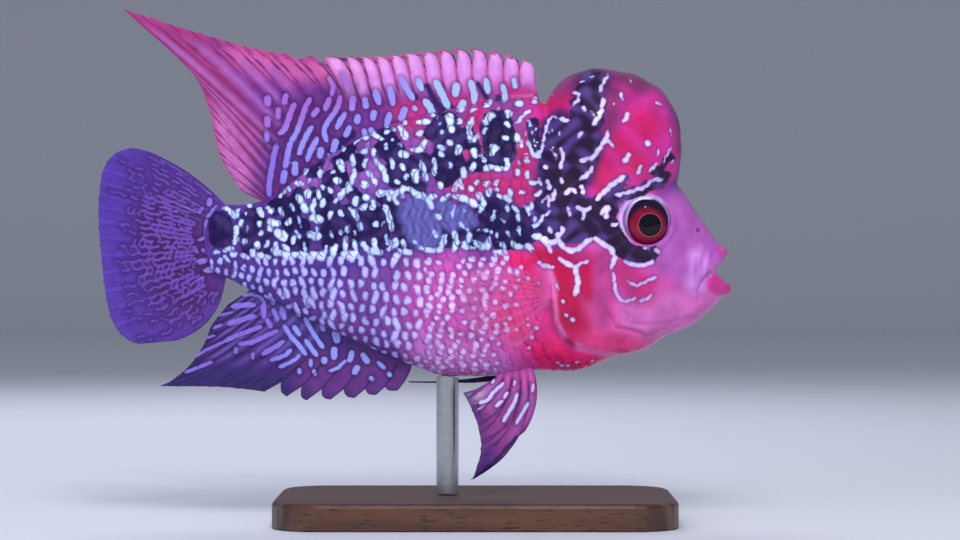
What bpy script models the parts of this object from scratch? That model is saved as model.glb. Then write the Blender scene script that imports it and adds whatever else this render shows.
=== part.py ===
# Flowerhorn cichlid, life size, with its open mouth and swelling forehead, on a
# plain display stand. +X is the way the head points, +Z is up, and the origin
# is on the floor, midway between the lips and the rear edge of the tail fin.
# Sizes are in millimetres until to_metres turns them into Blender's metres.

import math

import bmesh
import bpy
from mathutils import Vector

GAP = 0.3                   # left between two nodes that touch

# Whole fish
SNOUT_X = 62.4              # foremost point, the lower lip
TAIL_X = -62.5              # rearmost point, the edge of the tail fin
FLAT_HALF = 0.8             # half width of the strip that each long fin sits on
WIDEST_AT = 0.46            # height of the widest line, as a share of the depth
BACK_FULLNESS = 2.0         # how full the section is above that line
BELLY_FULLNESS = 2.4        # and below it

# Outlines of the body seen from the side, as (x, z)
BACK_LINE = [(-43.0, 62.1), (-34.0, 62.2), (-30.0, 62.9), (-18.6, 70.8), (-3.0, 78.6),
             (12.0, 82.0), (26.0, 83.6), (42.0, 84.0)]
BELLY_LINE = [(-43.0, 48.4), (-37.5, 47.6), (-33.4, 45.6), (-12.0, 35.2), (-0.5, 30.3),
              (7.0, 28.2), (15.0, 28.2), (23.0, 29.4), (30.6, 29.3), (36.5, 31.1),
              (42.0, 32.9)]
SKULL_LINE = [(20.0, 79.6), (30.0, 77.6), (38.0, 74.0), (46.0, 69.6), (51.4, 66.2),
              (55.8, 60.0), (58.2, 56.6), (60.0, 54.0), (61.0, 52.0)]
JAW_LINE = [(20.0, 29.0), (30.6, 29.3), (40.0, 32.3), (46.0, 33.9), (48.9, 36.0),
            (54.2, 38.2), (57.2, 40.5), (59.7, 43.0), (61.0, 45.2)]
# Half width of the body seen from above, as (x, y)
WIDTH_LINE = [(-43.0, 1.5), (-37.0, 2.7), (-30.0, 4.0), (-20.0, 5.8), (-5.0, 8.2),
              (10.0, 9.9), (25.0, 10.9), (34.0, 11.1), (45.0, 9.8), (52.0, 7.9),
              (57.0, 6.0), (60.0, 4.6), (61.0, 3.9)]

# Gill cover: rear edge of the head, as (x, z), from above the nape to the throat
GILL_EDGE = [(24.9, 95.0), (24.9, 72.0), (24.2, 63.0), (24.0, 56.7), (26.8, 48.0),
             (27.5, 42.0), (28.4, 36.6), (32.0, 33.6), (38.6, 32.6), (41.5, 29.0),
             (42.5, 20.0)]
GILL_STEP = 0.45            # the gill cover stands this proud of the shoulder

# Forehead hump
HUMP_TOP_X = 36.5
HUMP_MID_Z = 73.2
HUMP_REAR, HUMP_FRONT = 12.2, 16.0
HUMP_RISE, HUMP_DROP = 15.5, 17.0
HUMP_HALF_WIDTH = 10.0
HUMP_FULLNESS = 2.3

# Eye, lips, mouth and nostril
EYE = (45.5, 5.9, 58.8)
EYE_RADIUS = 4.4
EYE_DEPTH = 3.7
EYE_RIM = 0.6
MOUTH_CORNER = (57.4, 4.6, 49.0)
LIP_FRONT_UPPER = (60.5, 52.7)
LIP_FRONT_LOWER = (61.2, 45.3)
LIP_RADIUS = 1.25
GAPE = [(58.3, 49.0), (61.6, 46.4), (66.0, 44.0), (66.0, 54.0), (61.2, 51.6)]
MOUTH_DEEP = 5.2
NOSTRIL = (56.0, 57.0)
NOSTRIL_RADIUS = 0.55
CREASE_RADIUS = 0.45
CHEEK_CREASE = [(37.6, 54.0), (36.6, 48.0), (36.9, 42.0), (39.5, 38.0), (44.0, 36.8)]
JAW_CREASE = [(57.0, 49.0), (55.4, 47.4), (54.3, 45.4), (54.2, 43.6)]

# Tail stem
STEM_FRONT_X = -34.0
STEM_ARC = (-31.5, 54.9)
STEM_ARC_X, STEM_ARC_Z = 8.7, 9.7
STEM_ARC_TOP, STEM_ARC_BOTTOM = 48.0, -50.0

# Fins
MEMBRANE_HALF = 0.26        # half thickness of the membrane between two rays
RAY_HALF = 0.52             # half thickness at a ray's crest
RAY_FOOT = 0.24             # half width of a ray, as a share of the space between two
ROOT_HALF = 0.7             # half thickness where a fin grows from the body
ROOT_FADE = 2.2             # how fast the thick root thins out along a ray
TIP_HALF = 0.17

# Each row is the number of a ray, counted from the front, the x of its root, its
# tip as (x, z), and its bow
DORSAL_RAYS = [(0, 24.0, 21.4, 90.3, 0.8), (3, 15.7, 10.7, 92.6, 1.5),
               (6, 8.0, 0.1, 91.6, 1.9), (9, -0.1, -9.7, 90.6, 2.0),
               (13, -9.9, -21.0, 91.4, 1.5), (15, -14.7, -30.0, 92.7, 1.2),
               (17, -18.6, -42.2, 96.0, 0.8), (19, -22.0, -58.0, 101.0, 0.6),
               (20, -23.5, -50.8, 95.2, 0.3), (21, -24.9, -44.8, 89.0, 0.0),
               (22, -26.3, -42.2, 83.3, 0.0), (24, -28.5, -39.6, 72.9, 0.0),
               (26, -30.1, -34.6, 65.0, 0.0)]
ANAL_RAYS = [(0, -0.5, -3.6, 25.2, -0.4), (2, -6.2, -12.3, 23.6, -0.9),
             (4, -12.1, -21.8, 23.1, -1.2), (6, -17.4, -30.0, 25.0, -1.4),
             (8, -21.9, -40.7, 26.0, -1.6), (10, -25.7, -50.9, 26.1, -1.6),
             (11, -27.3, -46.9, 28.7, -0.8), (13, -30.0, -42.2, 34.4, 0.0),
             (14, -31.2, -41.0, 37.2, 0.0), (16, -33.4, -36.1, 42.8, 0.0)]
# The rays of the tail and pectoral fins have no x of their root, which lies on an
# arc or a line, and those of the pelvic fins have a tip as (x, y, z)
CAUDAL_RAYS = [(0, -52.4, 72.8, 1.0), (2, -58.8, 72.6, 0.8), (4, -61.6, 68.4, 0.5),
               (7, TAIL_X, 60.5, 0.1), (10, -61.8, 50.5, -0.3), (13, -60.2, 40.0, -1.4),
               (15, -54.6, 34.6, -2.3), (16, -47.4, 35.2, -2.6)]
PECTORAL_RAYS = [(0, 14.2, 50.6, 0.9), (2, 10.6, 48.2, 0.6), (5, 9.0, 43.6, 0.0),
                 (7, 11.0, 37.8, -0.4), (9, 20.0, 34.0, -0.9)]
HANGING_RAYS = [(0, 21.6, 3.6, 17.6, -1.4), (1, 11.1, 5.6, 8.3, -4.4),
                (2, 12.9, 6.2, 14.4, -3.0), (3, 12.5, 6.2, 18.1, -1.8),
                (4, 11.3, 5.4, 21.7, -1.0), (5, 9.6, 4.2, 25.2, -0.5)]
FOLDED_RAYS = [(0, 8.6, 6.2, 27.0, -0.9), (1, -1.4, 5.0, 27.0, -0.9),
               (2, 1.0, 4.4, 27.0, -0.9), (3, 4.0, 4.0, 27.1, -0.9),
               (4, 7.5, 3.7, 27.2, -0.9), (5, 10.6, 3.5, 27.6, -0.8)]
# How far the membrane reaches along a ray just behind it, and along the next ray
# just ahead of that one: a lobe behind each spine, then an almost even edge, then
# the free tips of the rearmost rays
DORSAL_REACH = [(0, 0.93, 0.74), (12, 0.95, 0.87), (13, 0.97, 0.97), (18, 0.97, 0.97),
                (19, 0.92, 0.92), (26, 0.86, 0.86)]
ANAL_REACH = [(0, 0.93, 0.78), (5, 0.95, 0.86), (6, 0.97, 0.97), (9, 0.97, 0.97),
              (10, 0.9, 0.9), (16, 0.88, 0.88)]
CAUDAL_REACH = [(0, 0.975, 0.975), (16, 0.975, 0.975)]
PECTORAL_REACH = [(0, 0.96, 0.96), (9, 0.96, 0.96)]
PELVIC_REACH = [(0, 0.95, 0.93), (5, 0.95, 0.93)]

DORSAL_WAVE = 0.7           # how far the dorsal fin sways aside near its rear
ANAL_ASIDE = -1.3           # the lobes of the anal and tail fins lie side by side,
CAUDAL_ASIDE = 1.1          # bent this far from the middle
PECTORAL_ROOT = ((25.6, 46.6), (25.4, 42.4))
PECTORAL_STAND_OFF = 1.3    # how much farther out its tips lie than its root
PECTORAL_LOBE = (1.5, 1.5, 2.9)
PELVIC_FRONT_X, PELVIC_REAR_X = 23.4, 16.4
PELVIC_Y = 2.8
PELVIC_LOBE = (4.2, 1.3, 1.9)

# Stand
BASE_LENGTH, BASE_WIDTH, BASE_HEIGHT = 78.0, 46.0, 5.0
BASE_X = 12.0
BASE_CORNER = 9.0
ROD_X = 6.5
ROD_RADIUS = 2.2


def clear_scene():
    for item in list(bpy.data.objects):
        bpy.data.objects.remove(item, do_unlink=True)


def to_metres(point):
    return Vector(point) * 0.001


def smooth_line(knots):
    # a curve through the knots that never overshoots them, as a function
    ts = [k[0] for k in knots]
    rows = [k[1:] for k in knots]
    sign = 1 if ts[-1] > ts[0] else -1
    steps = [(ts[i + 1] - ts[i]) for i in range(len(ts) - 1)]
    wide = len(rows[0])
    slopes = []
    for c in range(wide):
        secant = [(rows[i + 1][c] - rows[i][c]) / steps[i] for i in range(len(steps))]
        column = [secant[0]]
        for i in range(1, len(secant)):
            a, b = secant[i - 1], secant[i]
            column.append(0.0 if a * b <= 0 else 2 * a * b / (a + b))
        column.append(secant[-1])
        slopes.append(column)

    def value(t):
        i = 0
        while i < len(steps) - 1 and sign * (t - ts[i + 1]) > 0:
            i += 1
        s = min(1.0, max(0.0, (t - ts[i]) / steps[i]))
        h00 = (1 + 2 * s) * (1 - s) ** 2
        h10 = s * (1 - s) ** 2
        h01 = s * s * (3 - 2 * s)
        h11 = s * s * (s - 1)
        out = [h00 * rows[i][c] + h10 * steps[i] * slopes[c][i]
               + h01 * rows[i + 1][c] + h11 * steps[i] * slopes[c][i + 1]
               for c in range(wide)]
        return out[0] if wide == 1 else out

    return value


back_line = smooth_line(BACK_LINE)
belly_line = smooth_line(BELLY_LINE)
skull_line = smooth_line(SKULL_LINE)
jaw_line = smooth_line(JAW_LINE)
width_line = smooth_line(WIDTH_LINE)


def section_half(x, z, top, bottom, extra):
    # half width of the body's section at x, at height z
    high, low = top(x), bottom(x)
    widest = low + WIDEST_AT * (high - low)
    if z > widest:
        share, fullness = (z - widest) / (high - widest), BACK_FULLNESS
    else:
        share, fullness = (widest - z) / (widest - low), BELLY_FULLNESS
    share = min(1.0, share)
    half = width_line(x) + extra(x)
    return FLAT_HALF + (half - FLAT_HALF) * math.sqrt(1 - share ** fullness)


def head_extra(x):
    return GILL_STEP * max(0.0, min(1.0, (40.0 - x) / 10.0))


def no_extra(x):
    return 0.0


def cheek(x, z):
    return section_half(x, z, skull_line, jaw_line, head_extra)


def flank(x, z):
    return section_half(x, z, back_line, belly_line, no_extra)


def new_object(name, bm, where):
    bmesh.ops.recalc_face_normals(bm, faces=bm.faces)
    mesh = bpy.data.meshes.new(name)
    bm.to_mesh(mesh)
    bm.free()
    item = bpy.data.objects.new(name, mesh)
    where.objects.link(item)
    return item


def body_loft(name, xs, top, bottom, extra, half_ring, grow, where):
    # rings of the body's section at each x, joined and closed at both ends
    bm = bmesh.new()
    rings = []
    for x in xs:
        high, low = top(x), bottom(x)
        widest = low + WIDEST_AT * (high - low)
        right, left = [], []
        for j in range(half_ring + 1):
            turn = -math.cos(math.pi * j / half_ring)
            z = widest + turn * ((high - widest) if turn > 0 else (widest - low))
            y = section_half(x, z, top, bottom, extra) + grow
            z += grow * turn
            right.append(bm.verts.new(to_metres((x, -y, z))))
            left.append(bm.verts.new(to_metres((x, y, z))))
        rings.append(right + left[::-1])
    count = len(rings[0])
    for a, b in zip(rings, rings[1:]):
        for k in range(count):
            m = (k + 1) % count
            bm.faces.new((a[k], a[m], b[m], b[k]))
    bm.faces.new(rings[0])
    bm.faces.new(rings[-1][::-1])
    return new_object(name, bm, where)


def spread(start, end, count):
    return [start + (end - start) * i / (count - 1) for i in range(count)]


def slab(name, outline, half, where):
    # a flat outline in x and z, as thick as twice half across the fish
    bm = bmesh.new()
    near = [bm.verts.new(to_metres((x, -half, z))) for x, z in outline]
    far = [bm.verts.new(to_metres((x, half, z))) for x, z in outline]
    bm.faces.new(near)
    bm.faces.new(far[::-1])
    for i in range(len(outline)):
        k = (i + 1) % len(outline)
        bm.faces.new((near[i], far[i], far[k], near[k]))
    return new_object(name, bm, where)


def ellipsoid(name, centre, radii, rings, where):
    bm = bmesh.new()
    bmesh.ops.create_uvsphere(bm, u_segments=rings * 2, v_segments=rings, radius=1.0)
    for v in bm.verts:
        v.co = to_metres([centre[i] + radii[i] * v.co[i] for i in range(3)])
    return new_object(name, bm, where)


def tube(name, path, radii, sides, where, centre=None):
    # a round bar along the path, with its own radius at each point, which is a
    # closed ring where a centre is given
    bm = bmesh.new()
    points = [Vector(p) for p in path]
    count = len(points)
    rings = []
    for i, p in enumerate(points):
        if centre:
            along = points[(i + 1) % count] - points[i - 1]
            out = p - Vector(centre)
        else:
            along = points[min(count - 1, i + 1)] - points[max(0, i - 1)]
            out = Vector((1.0, 0.0, 0.0))
            if along.cross(out).length < 0.2 * along.length:
                out = Vector((0.0, 0.0, 1.0))
        along.normalize()
        across = along.cross(out).normalized()
        third = along.cross(across)
        ring = []
        for k in range(sides):
            angle = 2 * math.pi * k / sides
            off = across * math.cos(angle) + third * math.sin(angle)
            ring.append(bm.verts.new(to_metres(p + off * radii[i])))
        rings.append(ring)
    pairs = list(zip(rings, rings[1:]))
    if centre:
        pairs.append((rings[-1], rings[0]))
    else:
        bm.faces.new(rings[0])
        bm.faces.new(rings[-1][::-1])
    for a, b in pairs:
        for k in range(sides):
            m = (k + 1) % sides
            bm.faces.new((a[k], a[m], b[m], b[k]))
    return new_object(name, bm, where)


def combine(target, operation, tools):
    # one Boolean with all the tools, applied, and the tools removed
    box = bpy.data.collections.new("tools of " + target.name)
    for tool in tools:
        for owner in list(tool.users_collection):
            owner.objects.unlink(tool)
        box.objects.link(tool)
    modifier = target.modifiers.new(operation.lower(), "BOOLEAN")
    modifier.operation = operation
    modifier.operand_type = "COLLECTION"
    modifier.collection = box
    modifier.solver = "EXACT"
    graph = bpy.context.evaluated_depsgraph_get()
    shaped = bpy.data.meshes.new_from_object(target.evaluated_get(graph))
    target.modifiers.clear()
    target.data = shaped
    for tool in tools:
        bpy.data.objects.remove(tool, do_unlink=True)
    bpy.data.collections.remove(box)


def keep_largest(item):
    # drops loose scraps and fills sealed hollows: one closed surface stays
    bm = bmesh.new()
    bm.from_mesh(item.data)
    bmesh.ops.remove_doubles(bm, verts=bm.verts, dist=0.000001)
    seen = set()
    shells = []
    for start in bm.faces:
        if start in seen:
            continue
        shell, queue = [], [start]
        seen.add(start)
        while queue:
            face = queue.pop()
            shell.append(face)
            for edge in face.edges:
                for other in edge.link_faces:
                    if other not in seen:
                        seen.add(other)
                        queue.append(other)
        shells.append(shell)
    shells.sort(key=lambda shell: -sum(face.calc_area() for face in shell))
    extra = [face for shell in shells[1:] for face in shell]
    bmesh.ops.delete(bm, geom=extra, context="FACES")
    bm.to_mesh(item.data)
    bm.free()


def finish(item, colour, roughness, metallic=0.0, smooth=35.0):
    material = bpy.data.materials.new(item.name)
    material.use_nodes = True
    shader = material.node_tree.nodes["Principled BSDF"]
    shader.inputs["Base Color"].default_value = (*colour, 1.0)
    shader.inputs["Roughness"].default_value = roughness
    shader.inputs["Metallic"].default_value = metallic
    item.data.materials.clear()
    item.data.materials.append(material)
    item.data.shade_smooth()
    item.data.set_sharp_from_angle(angle=math.radians(smooth))
    return item


def offset_outline(points, distance):
    # the same line, moved to its left by the distance
    moved = []
    for i, (x, z) in enumerate(points):
        ax, az = points[max(0, i - 1)]
        bx, bz = points[min(len(points) - 1, i + 1)]
        length = math.hypot(bx - ax, bz - az)
        moved.append((x + distance * (bz - az) / length, z - distance * (bx - ax) / length))
    return moved


def gill_edge_points():
    ts = list(range(len(GILL_EDGE)))
    line = smooth_line([(t, *p) for t, p in zip(ts, GILL_EDGE)])
    return [tuple(line(t)) for t in spread(0.0, ts[-1], 2 * len(ts) - 1)]


def in_front_of_gill(where):
    edge = gill_edge_points()
    return slab("front cutter", edge + [(90.0, 20.0), (90.0, 95.0)], 20.0, where)


def behind_gill(where, grow):
    edge = offset_outline(gill_edge_points(), GAP - grow)
    return slab("rear cutter", edge + [(STEM_FRONT_X - grow, 20.0), (STEM_FRONT_X - grow, 95.0)],
                20.0, where)


def head_block(name, grow, where):
    xs = spread(20.0, 48.0, 12) + spread(50.0, 59.0, 7) + [60.2, 61.0]
    xs[0] -= grow
    xs[-1] += grow
    return body_loft(name, xs, skull_line, jaw_line, head_extra, 16, grow, where)


def trunk_block(name, grow, where):
    xs = spread(-36.0, 42.0, 24)
    block = body_loft(name, xs, back_line, belly_line, no_extra, 14, grow, where)
    combine(block, "INTERSECT", [behind_gill(where, grow)])
    return block


def hump_block(name, grow, where):
    bm = bmesh.new()
    bmesh.ops.create_uvsphere(bm, u_segments=28, v_segments=18, radius=1.0)
    power = 2.0 / HUMP_FULLNESS
    for v in bm.verts:
        full = [math.copysign(abs(c) ** power, c) for c in v.co]
        reach_x = HUMP_FRONT if full[0] > 0 else HUMP_REAR
        reach_z = HUMP_RISE if full[2] > 0 else HUMP_DROP
        v.co = to_metres((HUMP_TOP_X + (reach_x + grow) * full[0],
                          (HUMP_HALF_WIDTH + grow) * full[1],
                          HUMP_MID_Z + (reach_z + grow) * full[2]))
    return new_object(name, bm, where)


def lip_ring(where):
    # the two lips run round the open mouth from corner to corner
    count = 24
    path, radii = [], []
    corner_x, corner_y, corner_z = MOUTH_CORNER
    for i in range(count):
        turn = 2 * math.pi * i / count
        up = math.sin(turn)
        front_x, front_z = LIP_FRONT_UPPER if up > 0 else LIP_FRONT_LOWER
        lift = abs(up)
        x = corner_x + (front_x - corner_x) * lift ** 1.3
        z = corner_z + (front_z - corner_z) * lift ** 0.7
        path.append((x, corner_y * math.cos(turn), z))
        radii.append(LIP_RADIUS * (0.6 + 0.4 * lift))
    centre = (corner_x, 0.0, corner_z)
    return tube("lips", path, radii, 8, where, centre)


def surface_line(points, side, sink, count):
    # a line drawn on the cheek, just under or above its surface
    ts = list(range(len(points)))
    line = smooth_line([(t, *p) for t, p in zip(ts, points)])
    path = []
    for t in spread(0.0, ts[-1], count):
        x, z = line(t)
        path.append((x, side * (cheek(x, z) - sink), z))
    return path


def eye_rim(side, where):
    # the fold of skin round the eye, following the cheek
    count = 20
    path = []
    for i in range(count):
        turn = 2 * math.pi * i / count
        x = EYE[0] + (EYE_RADIUS + 0.45) * math.cos(turn)
        z = EYE[2] + (EYE_RADIUS + 0.45) * math.sin(turn)
        path.append((x, side * (cheek(x, z) - 0.15), z))
    centre = (EYE[0], side * EYE[1], EYE[2])
    return tube("eye rim", path, [EYE_RIM] * count, 6, where, centre)


def make_head(where):
    head = head_block("head", 0.0, where)
    combine(head, "INTERSECT", [in_front_of_gill(where)])
    combine(head, "DIFFERENCE", [slab("gape", GAPE, 20.0, where)])
    rims = [eye_rim(side, where) for side in (-1, 1)]
    combine(head, "UNION", [lip_ring(where)] + rims)
    cuts = []
    mouth_z = (LIP_FRONT_UPPER[1] + LIP_FRONT_LOWER[1]) / 2
    mouth_high = (LIP_FRONT_UPPER[1] - LIP_FRONT_LOWER[1]) / 2 - 0.6
    cuts.append(ellipsoid("mouth", (SNOUT_X, 0.0, mouth_z),
                          (MOUTH_DEEP + 1.0, MOUTH_CORNER[1] - 0.6, mouth_high), 10, where))
    for side in (-1, 1):
        x, z = NOSTRIL
        pit = (x, side * cheek(x, z), z)
        cuts.append(ellipsoid("nostril", pit, [NOSTRIL_RADIUS] * 3, 5, where))
        grow = [EYE_RADIUS + GAP, EYE_DEPTH + GAP, EYE_RADIUS + GAP]
        cuts.append(ellipsoid("socket", (EYE[0], side * EYE[1], EYE[2]), grow, 12, where))
        for line, count in ((CHEEK_CREASE, 12), (JAW_CREASE, 6)):
            path = surface_line(line, side, -0.1, count)
            cuts.append(tube("crease", path, [CREASE_RADIUS] * count, 6, where))
    combine(head, "DIFFERENCE", cuts)
    keep_largest(head)
    return finish(head, (0.72, 0.13, 0.24), 0.35)


def make_hump(where):
    hump = hump_block("nuchal_hump", 0.0, where)
    tools = [head_block("head tool", GAP, where), trunk_block("trunk tool", GAP, where)]
    combine(hump, "DIFFERENCE", tools)
    keep_largest(hump)
    return finish(hump, (0.55, 0.03, 0.07), 0.3)


def make_trunk(where):
    trunk = trunk_block("trunk", 0.0, where)
    keep_largest(trunk)
    return finish(trunk, (0.36, 0.13, 0.24), 0.4)


def stem_arc(turn, grow):
    angle = math.radians(turn)
    return (STEM_ARC[0] - (STEM_ARC_X + grow) * math.cos(angle),
            STEM_ARC[1] + (STEM_ARC_Z + grow) * math.sin(angle))


def make_tail_stem(where):
    xs = spread(STEM_FRONT_X - GAP, -43.0, 6)
    stem = body_loft("tail_stem", xs, back_line, belly_line, no_extra, 12, 0.0, where)
    arc = [stem_arc(turn, 0.0) for turn in spread(90.0, -90.0, 25)]
    combine(stem, "INTERSECT", [slab("tail end", arc, 20.0, where)])
    keep_largest(stem)
    return finish(stem, (0.2, 0.08, 0.16), 0.4)


def fin_sheet(name, surface, ray_rows, reach_rows, rows, where, across=(0.0, 1.0, 0.0),
              ray_half=RAY_HALF):
    # surface(ray, v) is the middle of the fin, out to the tip at v = 1. Each ray is
    # a ridge between two feet, and both faces are split into the same triangles.
    last_ray = ray_rows[-1][0]
    reach = smooth_line(reach_rows)
    columns = []
    for ray in range(last_ray):
        behind, ahead = reach(ray)
        columns.append((ray, ray_half, 1.0))
        columns.append((ray + RAY_FOOT, MEMBRANE_HALF, behind))
        columns.append((ray + 1 - RAY_FOOT, MEMBRANE_HALF, ahead))
    columns.append((last_ray, ray_half, 1.0))
    bm = bmesh.new()
    near, far = [], []
    side = Vector(across)
    for position, thick, length in columns:
        near.append([])
        far.append([])
        for r in range(rows + 1):
            v = length * r / rows
            half = thick + (TIP_HALF - thick) * v ** 2
            half = max(half, thick - MEMBRANE_HALF + ROOT_HALF * (1 - ROOT_FADE * v))
            if r == rows:
                half = TIP_HALF
            middle = Vector(surface(position, v))
            near[-1].append(bm.verts.new(to_metres(middle - side * half)))
            far[-1].append(bm.verts.new(to_metres(middle + side * half)))
    last = len(columns) - 1
    for i in range(last):
        for r in range(rows):
            for grid in (near, far):
                a, b = grid[i][r], grid[i + 1][r]
                c, d = grid[i + 1][r + 1], grid[i][r + 1]
                bm.faces.new((a, b, c))
                bm.faces.new((a, c, d))
    rim = [(i, 0) for i in range(last)] + [(last, r) for r in range(rows)]
    rim += [(i, rows) for i in range(last, 0, -1)] + [(0, r) for r in range(rows, 0, -1)]
    for (i, r), (k, s) in zip(rim, rim[1:] + rim[:1]):
        bm.faces.new((near[i][r], near[k][s], far[k][s]))
        bm.faces.new((near[i][r], far[k][s], far[i][r]))
    return new_object(name, bm, where)


def bowed(start, end, bow, v, out=0.0):
    # a point on a ray from start to end, bowed in the fin's own plane and outwards
    rise, run = end[2] - start[2], end[0] - start[0]
    length = math.hypot(rise, run)
    push = (bow * rise / length, out, -bow * run / length)
    swell = 4 * v * (1 - v)
    return [start[i] + (end[i] - start[i]) * v + push[i] * swell for i in range(3)]


def make_dorsal_fin(where):
    rays = smooth_line(DORSAL_RAYS)
    last = DORSAL_RAYS[-1][0]

    def surface(ray, v):
        root_x, tip_x, tip_z, bow = rays(ray)
        aside = DORSAL_WAVE * math.sin(7 * ray / last) * ray / last
        start = (root_x, 0.0, back_line(root_x) + GAP)
        return bowed(start, (tip_x, aside, tip_z), bow, v)

    fin = fin_sheet("dorsal_fin", surface, DORSAL_RAYS, DORSAL_REACH, 5, where)
    return finish(fin, (0.3, 0.06, 0.16), 0.45)


def make_anal_fin(where):
    rays = smooth_line(ANAL_RAYS)
    last = ANAL_RAYS[-1][0]

    def surface(ray, v):
        root_x, tip_x, tip_z, bow = rays(ray)
        start = (root_x, 0.0, belly_line(root_x) - GAP)
        return bowed(start, (tip_x, ANAL_ASIDE * (ray / last) ** 2, tip_z), bow, v)

    fin = fin_sheet("anal_fin", surface, ANAL_RAYS, ANAL_REACH, 5, where)
    return finish(fin, (0.13, 0.05, 0.14), 0.45)


def make_caudal_fin(where):
    rays = smooth_line(CAUDAL_RAYS)
    last = CAUDAL_RAYS[-1][0]

    def surface(ray, v):
        share = ray / last
        x, z = stem_arc(STEM_ARC_TOP + (STEM_ARC_BOTTOM - STEM_ARC_TOP) * share, GAP)
        tip_x, tip_z, bow = rays(ray)
        aside = CAUDAL_ASIDE * max(0.0, 2 * share - 1) ** 2
        return bowed((x, 0.0, z), (tip_x, aside, tip_z), bow, v)

    fin = fin_sheet("caudal_fin", surface, CAUDAL_RAYS, CAUDAL_REACH, 6, where)
    return finish(fin, (0.17, 0.07, 0.2), 0.45)


def rooted_fin(fin, lobe_at, lobe_size, where):
    # a fleshy lobe at the fin's root, cut to lie on the body
    lobe = ellipsoid("lobe", lobe_at, lobe_size, 8, where)
    combine(fin, "UNION", [lobe])
    combine(fin, "DIFFERENCE", [trunk_block("trunk tool", GAP, where)])
    keep_largest(fin)
    return fin


def make_pectoral_fin(name, side, where):
    rays = smooth_line(PECTORAL_RAYS)
    last = PECTORAL_RAYS[-1][0]
    (top_x, top_z), (low_x, low_z) = PECTORAL_ROOT
    mid_x, mid_z = (top_x + low_x) / 2, (top_z + low_z) / 2
    root_y = flank(low_x, mid_z) + PECTORAL_LOBE[1] / 2

    def surface(ray, v):
        share = ray / last
        start = (top_x + (low_x - top_x) * share, side * root_y,
                 top_z + (low_z - top_z) * share)
        tip_x, tip_z, bow = rays(ray)
        end = (tip_x, side * (root_y + PECTORAL_STAND_OFF), tip_z)
        return bowed(start, end, bow, v, out=side * 0.6)

    fin = fin_sheet(name, surface, PECTORAL_RAYS, PECTORAL_REACH, 4, where, ray_half=0.42)
    rooted_fin(fin, (mid_x - 0.5, side * flank(mid_x, mid_z), mid_z), PECTORAL_LOBE, where)
    return finish(fin, (0.8, 0.45, 0.6), 0.3)


def make_pelvic_fin(name, side, ray_rows, across, where):
    rays = smooth_line(ray_rows)
    last = ray_rows[-1][0]

    def surface(ray, v):
        x = PELVIC_FRONT_X + (PELVIC_REAR_X - PELVIC_FRONT_X) * ray / last
        tip_x, tip_y, tip_z, bow = rays(ray)
        start = (x, side * PELVIC_Y, belly_line(x) - GAP)
        return bowed(start, (tip_x, side * tip_y, tip_z), bow, v)

    fin = fin_sheet(name, surface, ray_rows, PELVIC_REACH, 6, where, across)
    middle_x = (PELVIC_FRONT_X + PELVIC_REAR_X) / 2
    rooted_fin(fin, (middle_x, side * PELVIC_Y, belly_line(middle_x) + 0.5), PELVIC_LOBE,
               where)
    return finish(fin, (0.25, 0.05, 0.2), 0.45)


def make_eye(name, side, where):
    eye = ellipsoid(name, (EYE[0], side * EYE[1], EYE[2]),
                    (EYE_RADIUS, EYE_DEPTH, EYE_RADIUS), 12, where)
    return finish(eye, (0.35, 0.01, 0.02), 0.05, smooth=60.0)


def make_stand(where):
    bm = bmesh.new()
    bmesh.ops.create_cube(bm, size=1.0)
    for v in bm.verts:
        v.co = to_metres((BASE_X + BASE_LENGTH * v.co.x, BASE_WIDTH * v.co.y,
                          BASE_HEIGHT * (v.co.z + 0.5)))
    upright = [e for e in bm.edges if abs(e.verts[0].co.z - e.verts[1].co.z) > 0.001]
    bmesh.ops.bevel(bm, geom=upright, offset=BASE_CORNER * 0.001, segments=6,
                    profile=0.5, affect="EDGES", material=-1)
    top = [e for e in bm.edges if min(v.co.z for v in e.verts) > BASE_HEIGHT * 0.00099]
    bmesh.ops.bevel(bm, geom=top, offset=0.0008, segments=2, profile=0.5,
                    affect="EDGES", material=-1)
    base = finish(new_object("stand_base", bm, where), (0.02, 0.02, 0.025), 0.25)
    foot = (ROD_X, 0.0, BASE_HEIGHT + GAP)
    rod = tube("stand_rod", [foot, (ROD_X, 0.0, 33.0)], [ROD_RADIUS] * 2, 24, where)
    combine(rod, "DIFFERENCE", [trunk_block("trunk tool", GAP, where)])
    keep_largest(rod)
    finish(rod, (0.6, 0.6, 0.62), 0.25, metallic=1.0)
    return [base, rod]


def main():
    clear_scene()
    parts = bpy.data.collections.new("flowerhorn_cichlid")
    bpy.context.scene.collection.children.link(parts)
    make_head(parts)
    make_hump(parts)
    make_trunk(parts)
    make_tail_stem(parts)
    make_dorsal_fin(parts)
    make_anal_fin(parts)
    make_caudal_fin(parts)
    make_pectoral_fin("pectoral_fin_right", -1, parts)
    make_pectoral_fin("pectoral_fin_left", 1, parts)
    upright, level = (0.0, 1.0, 0.0), (0.0, 0.0, 1.0)
    make_pelvic_fin("pelvic_fin_right", -1, HANGING_RAYS, upright, parts)
    make_pelvic_fin("pelvic_fin_left", 1, FOLDED_RAYS, level, parts)
    make_eye("eye_right", -1, parts)
    make_eye("eye_left", 1, parts)
    make_stand(parts)


main()
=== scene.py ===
# A flowerhorn cichlid, life size, as a museum shows it: a still model on a short rod
# and a walnut base. +X is the way the head points, +Z is up, and the camera looks at
# the fish's right side. Sizes here are in millimetres until toMesh makes them metres.
import math

import bmesh
import bpy
import numpy as np
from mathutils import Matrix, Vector
from mathutils.bvhtree import BVHTree
from mathutils.kdtree import KDTree


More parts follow.
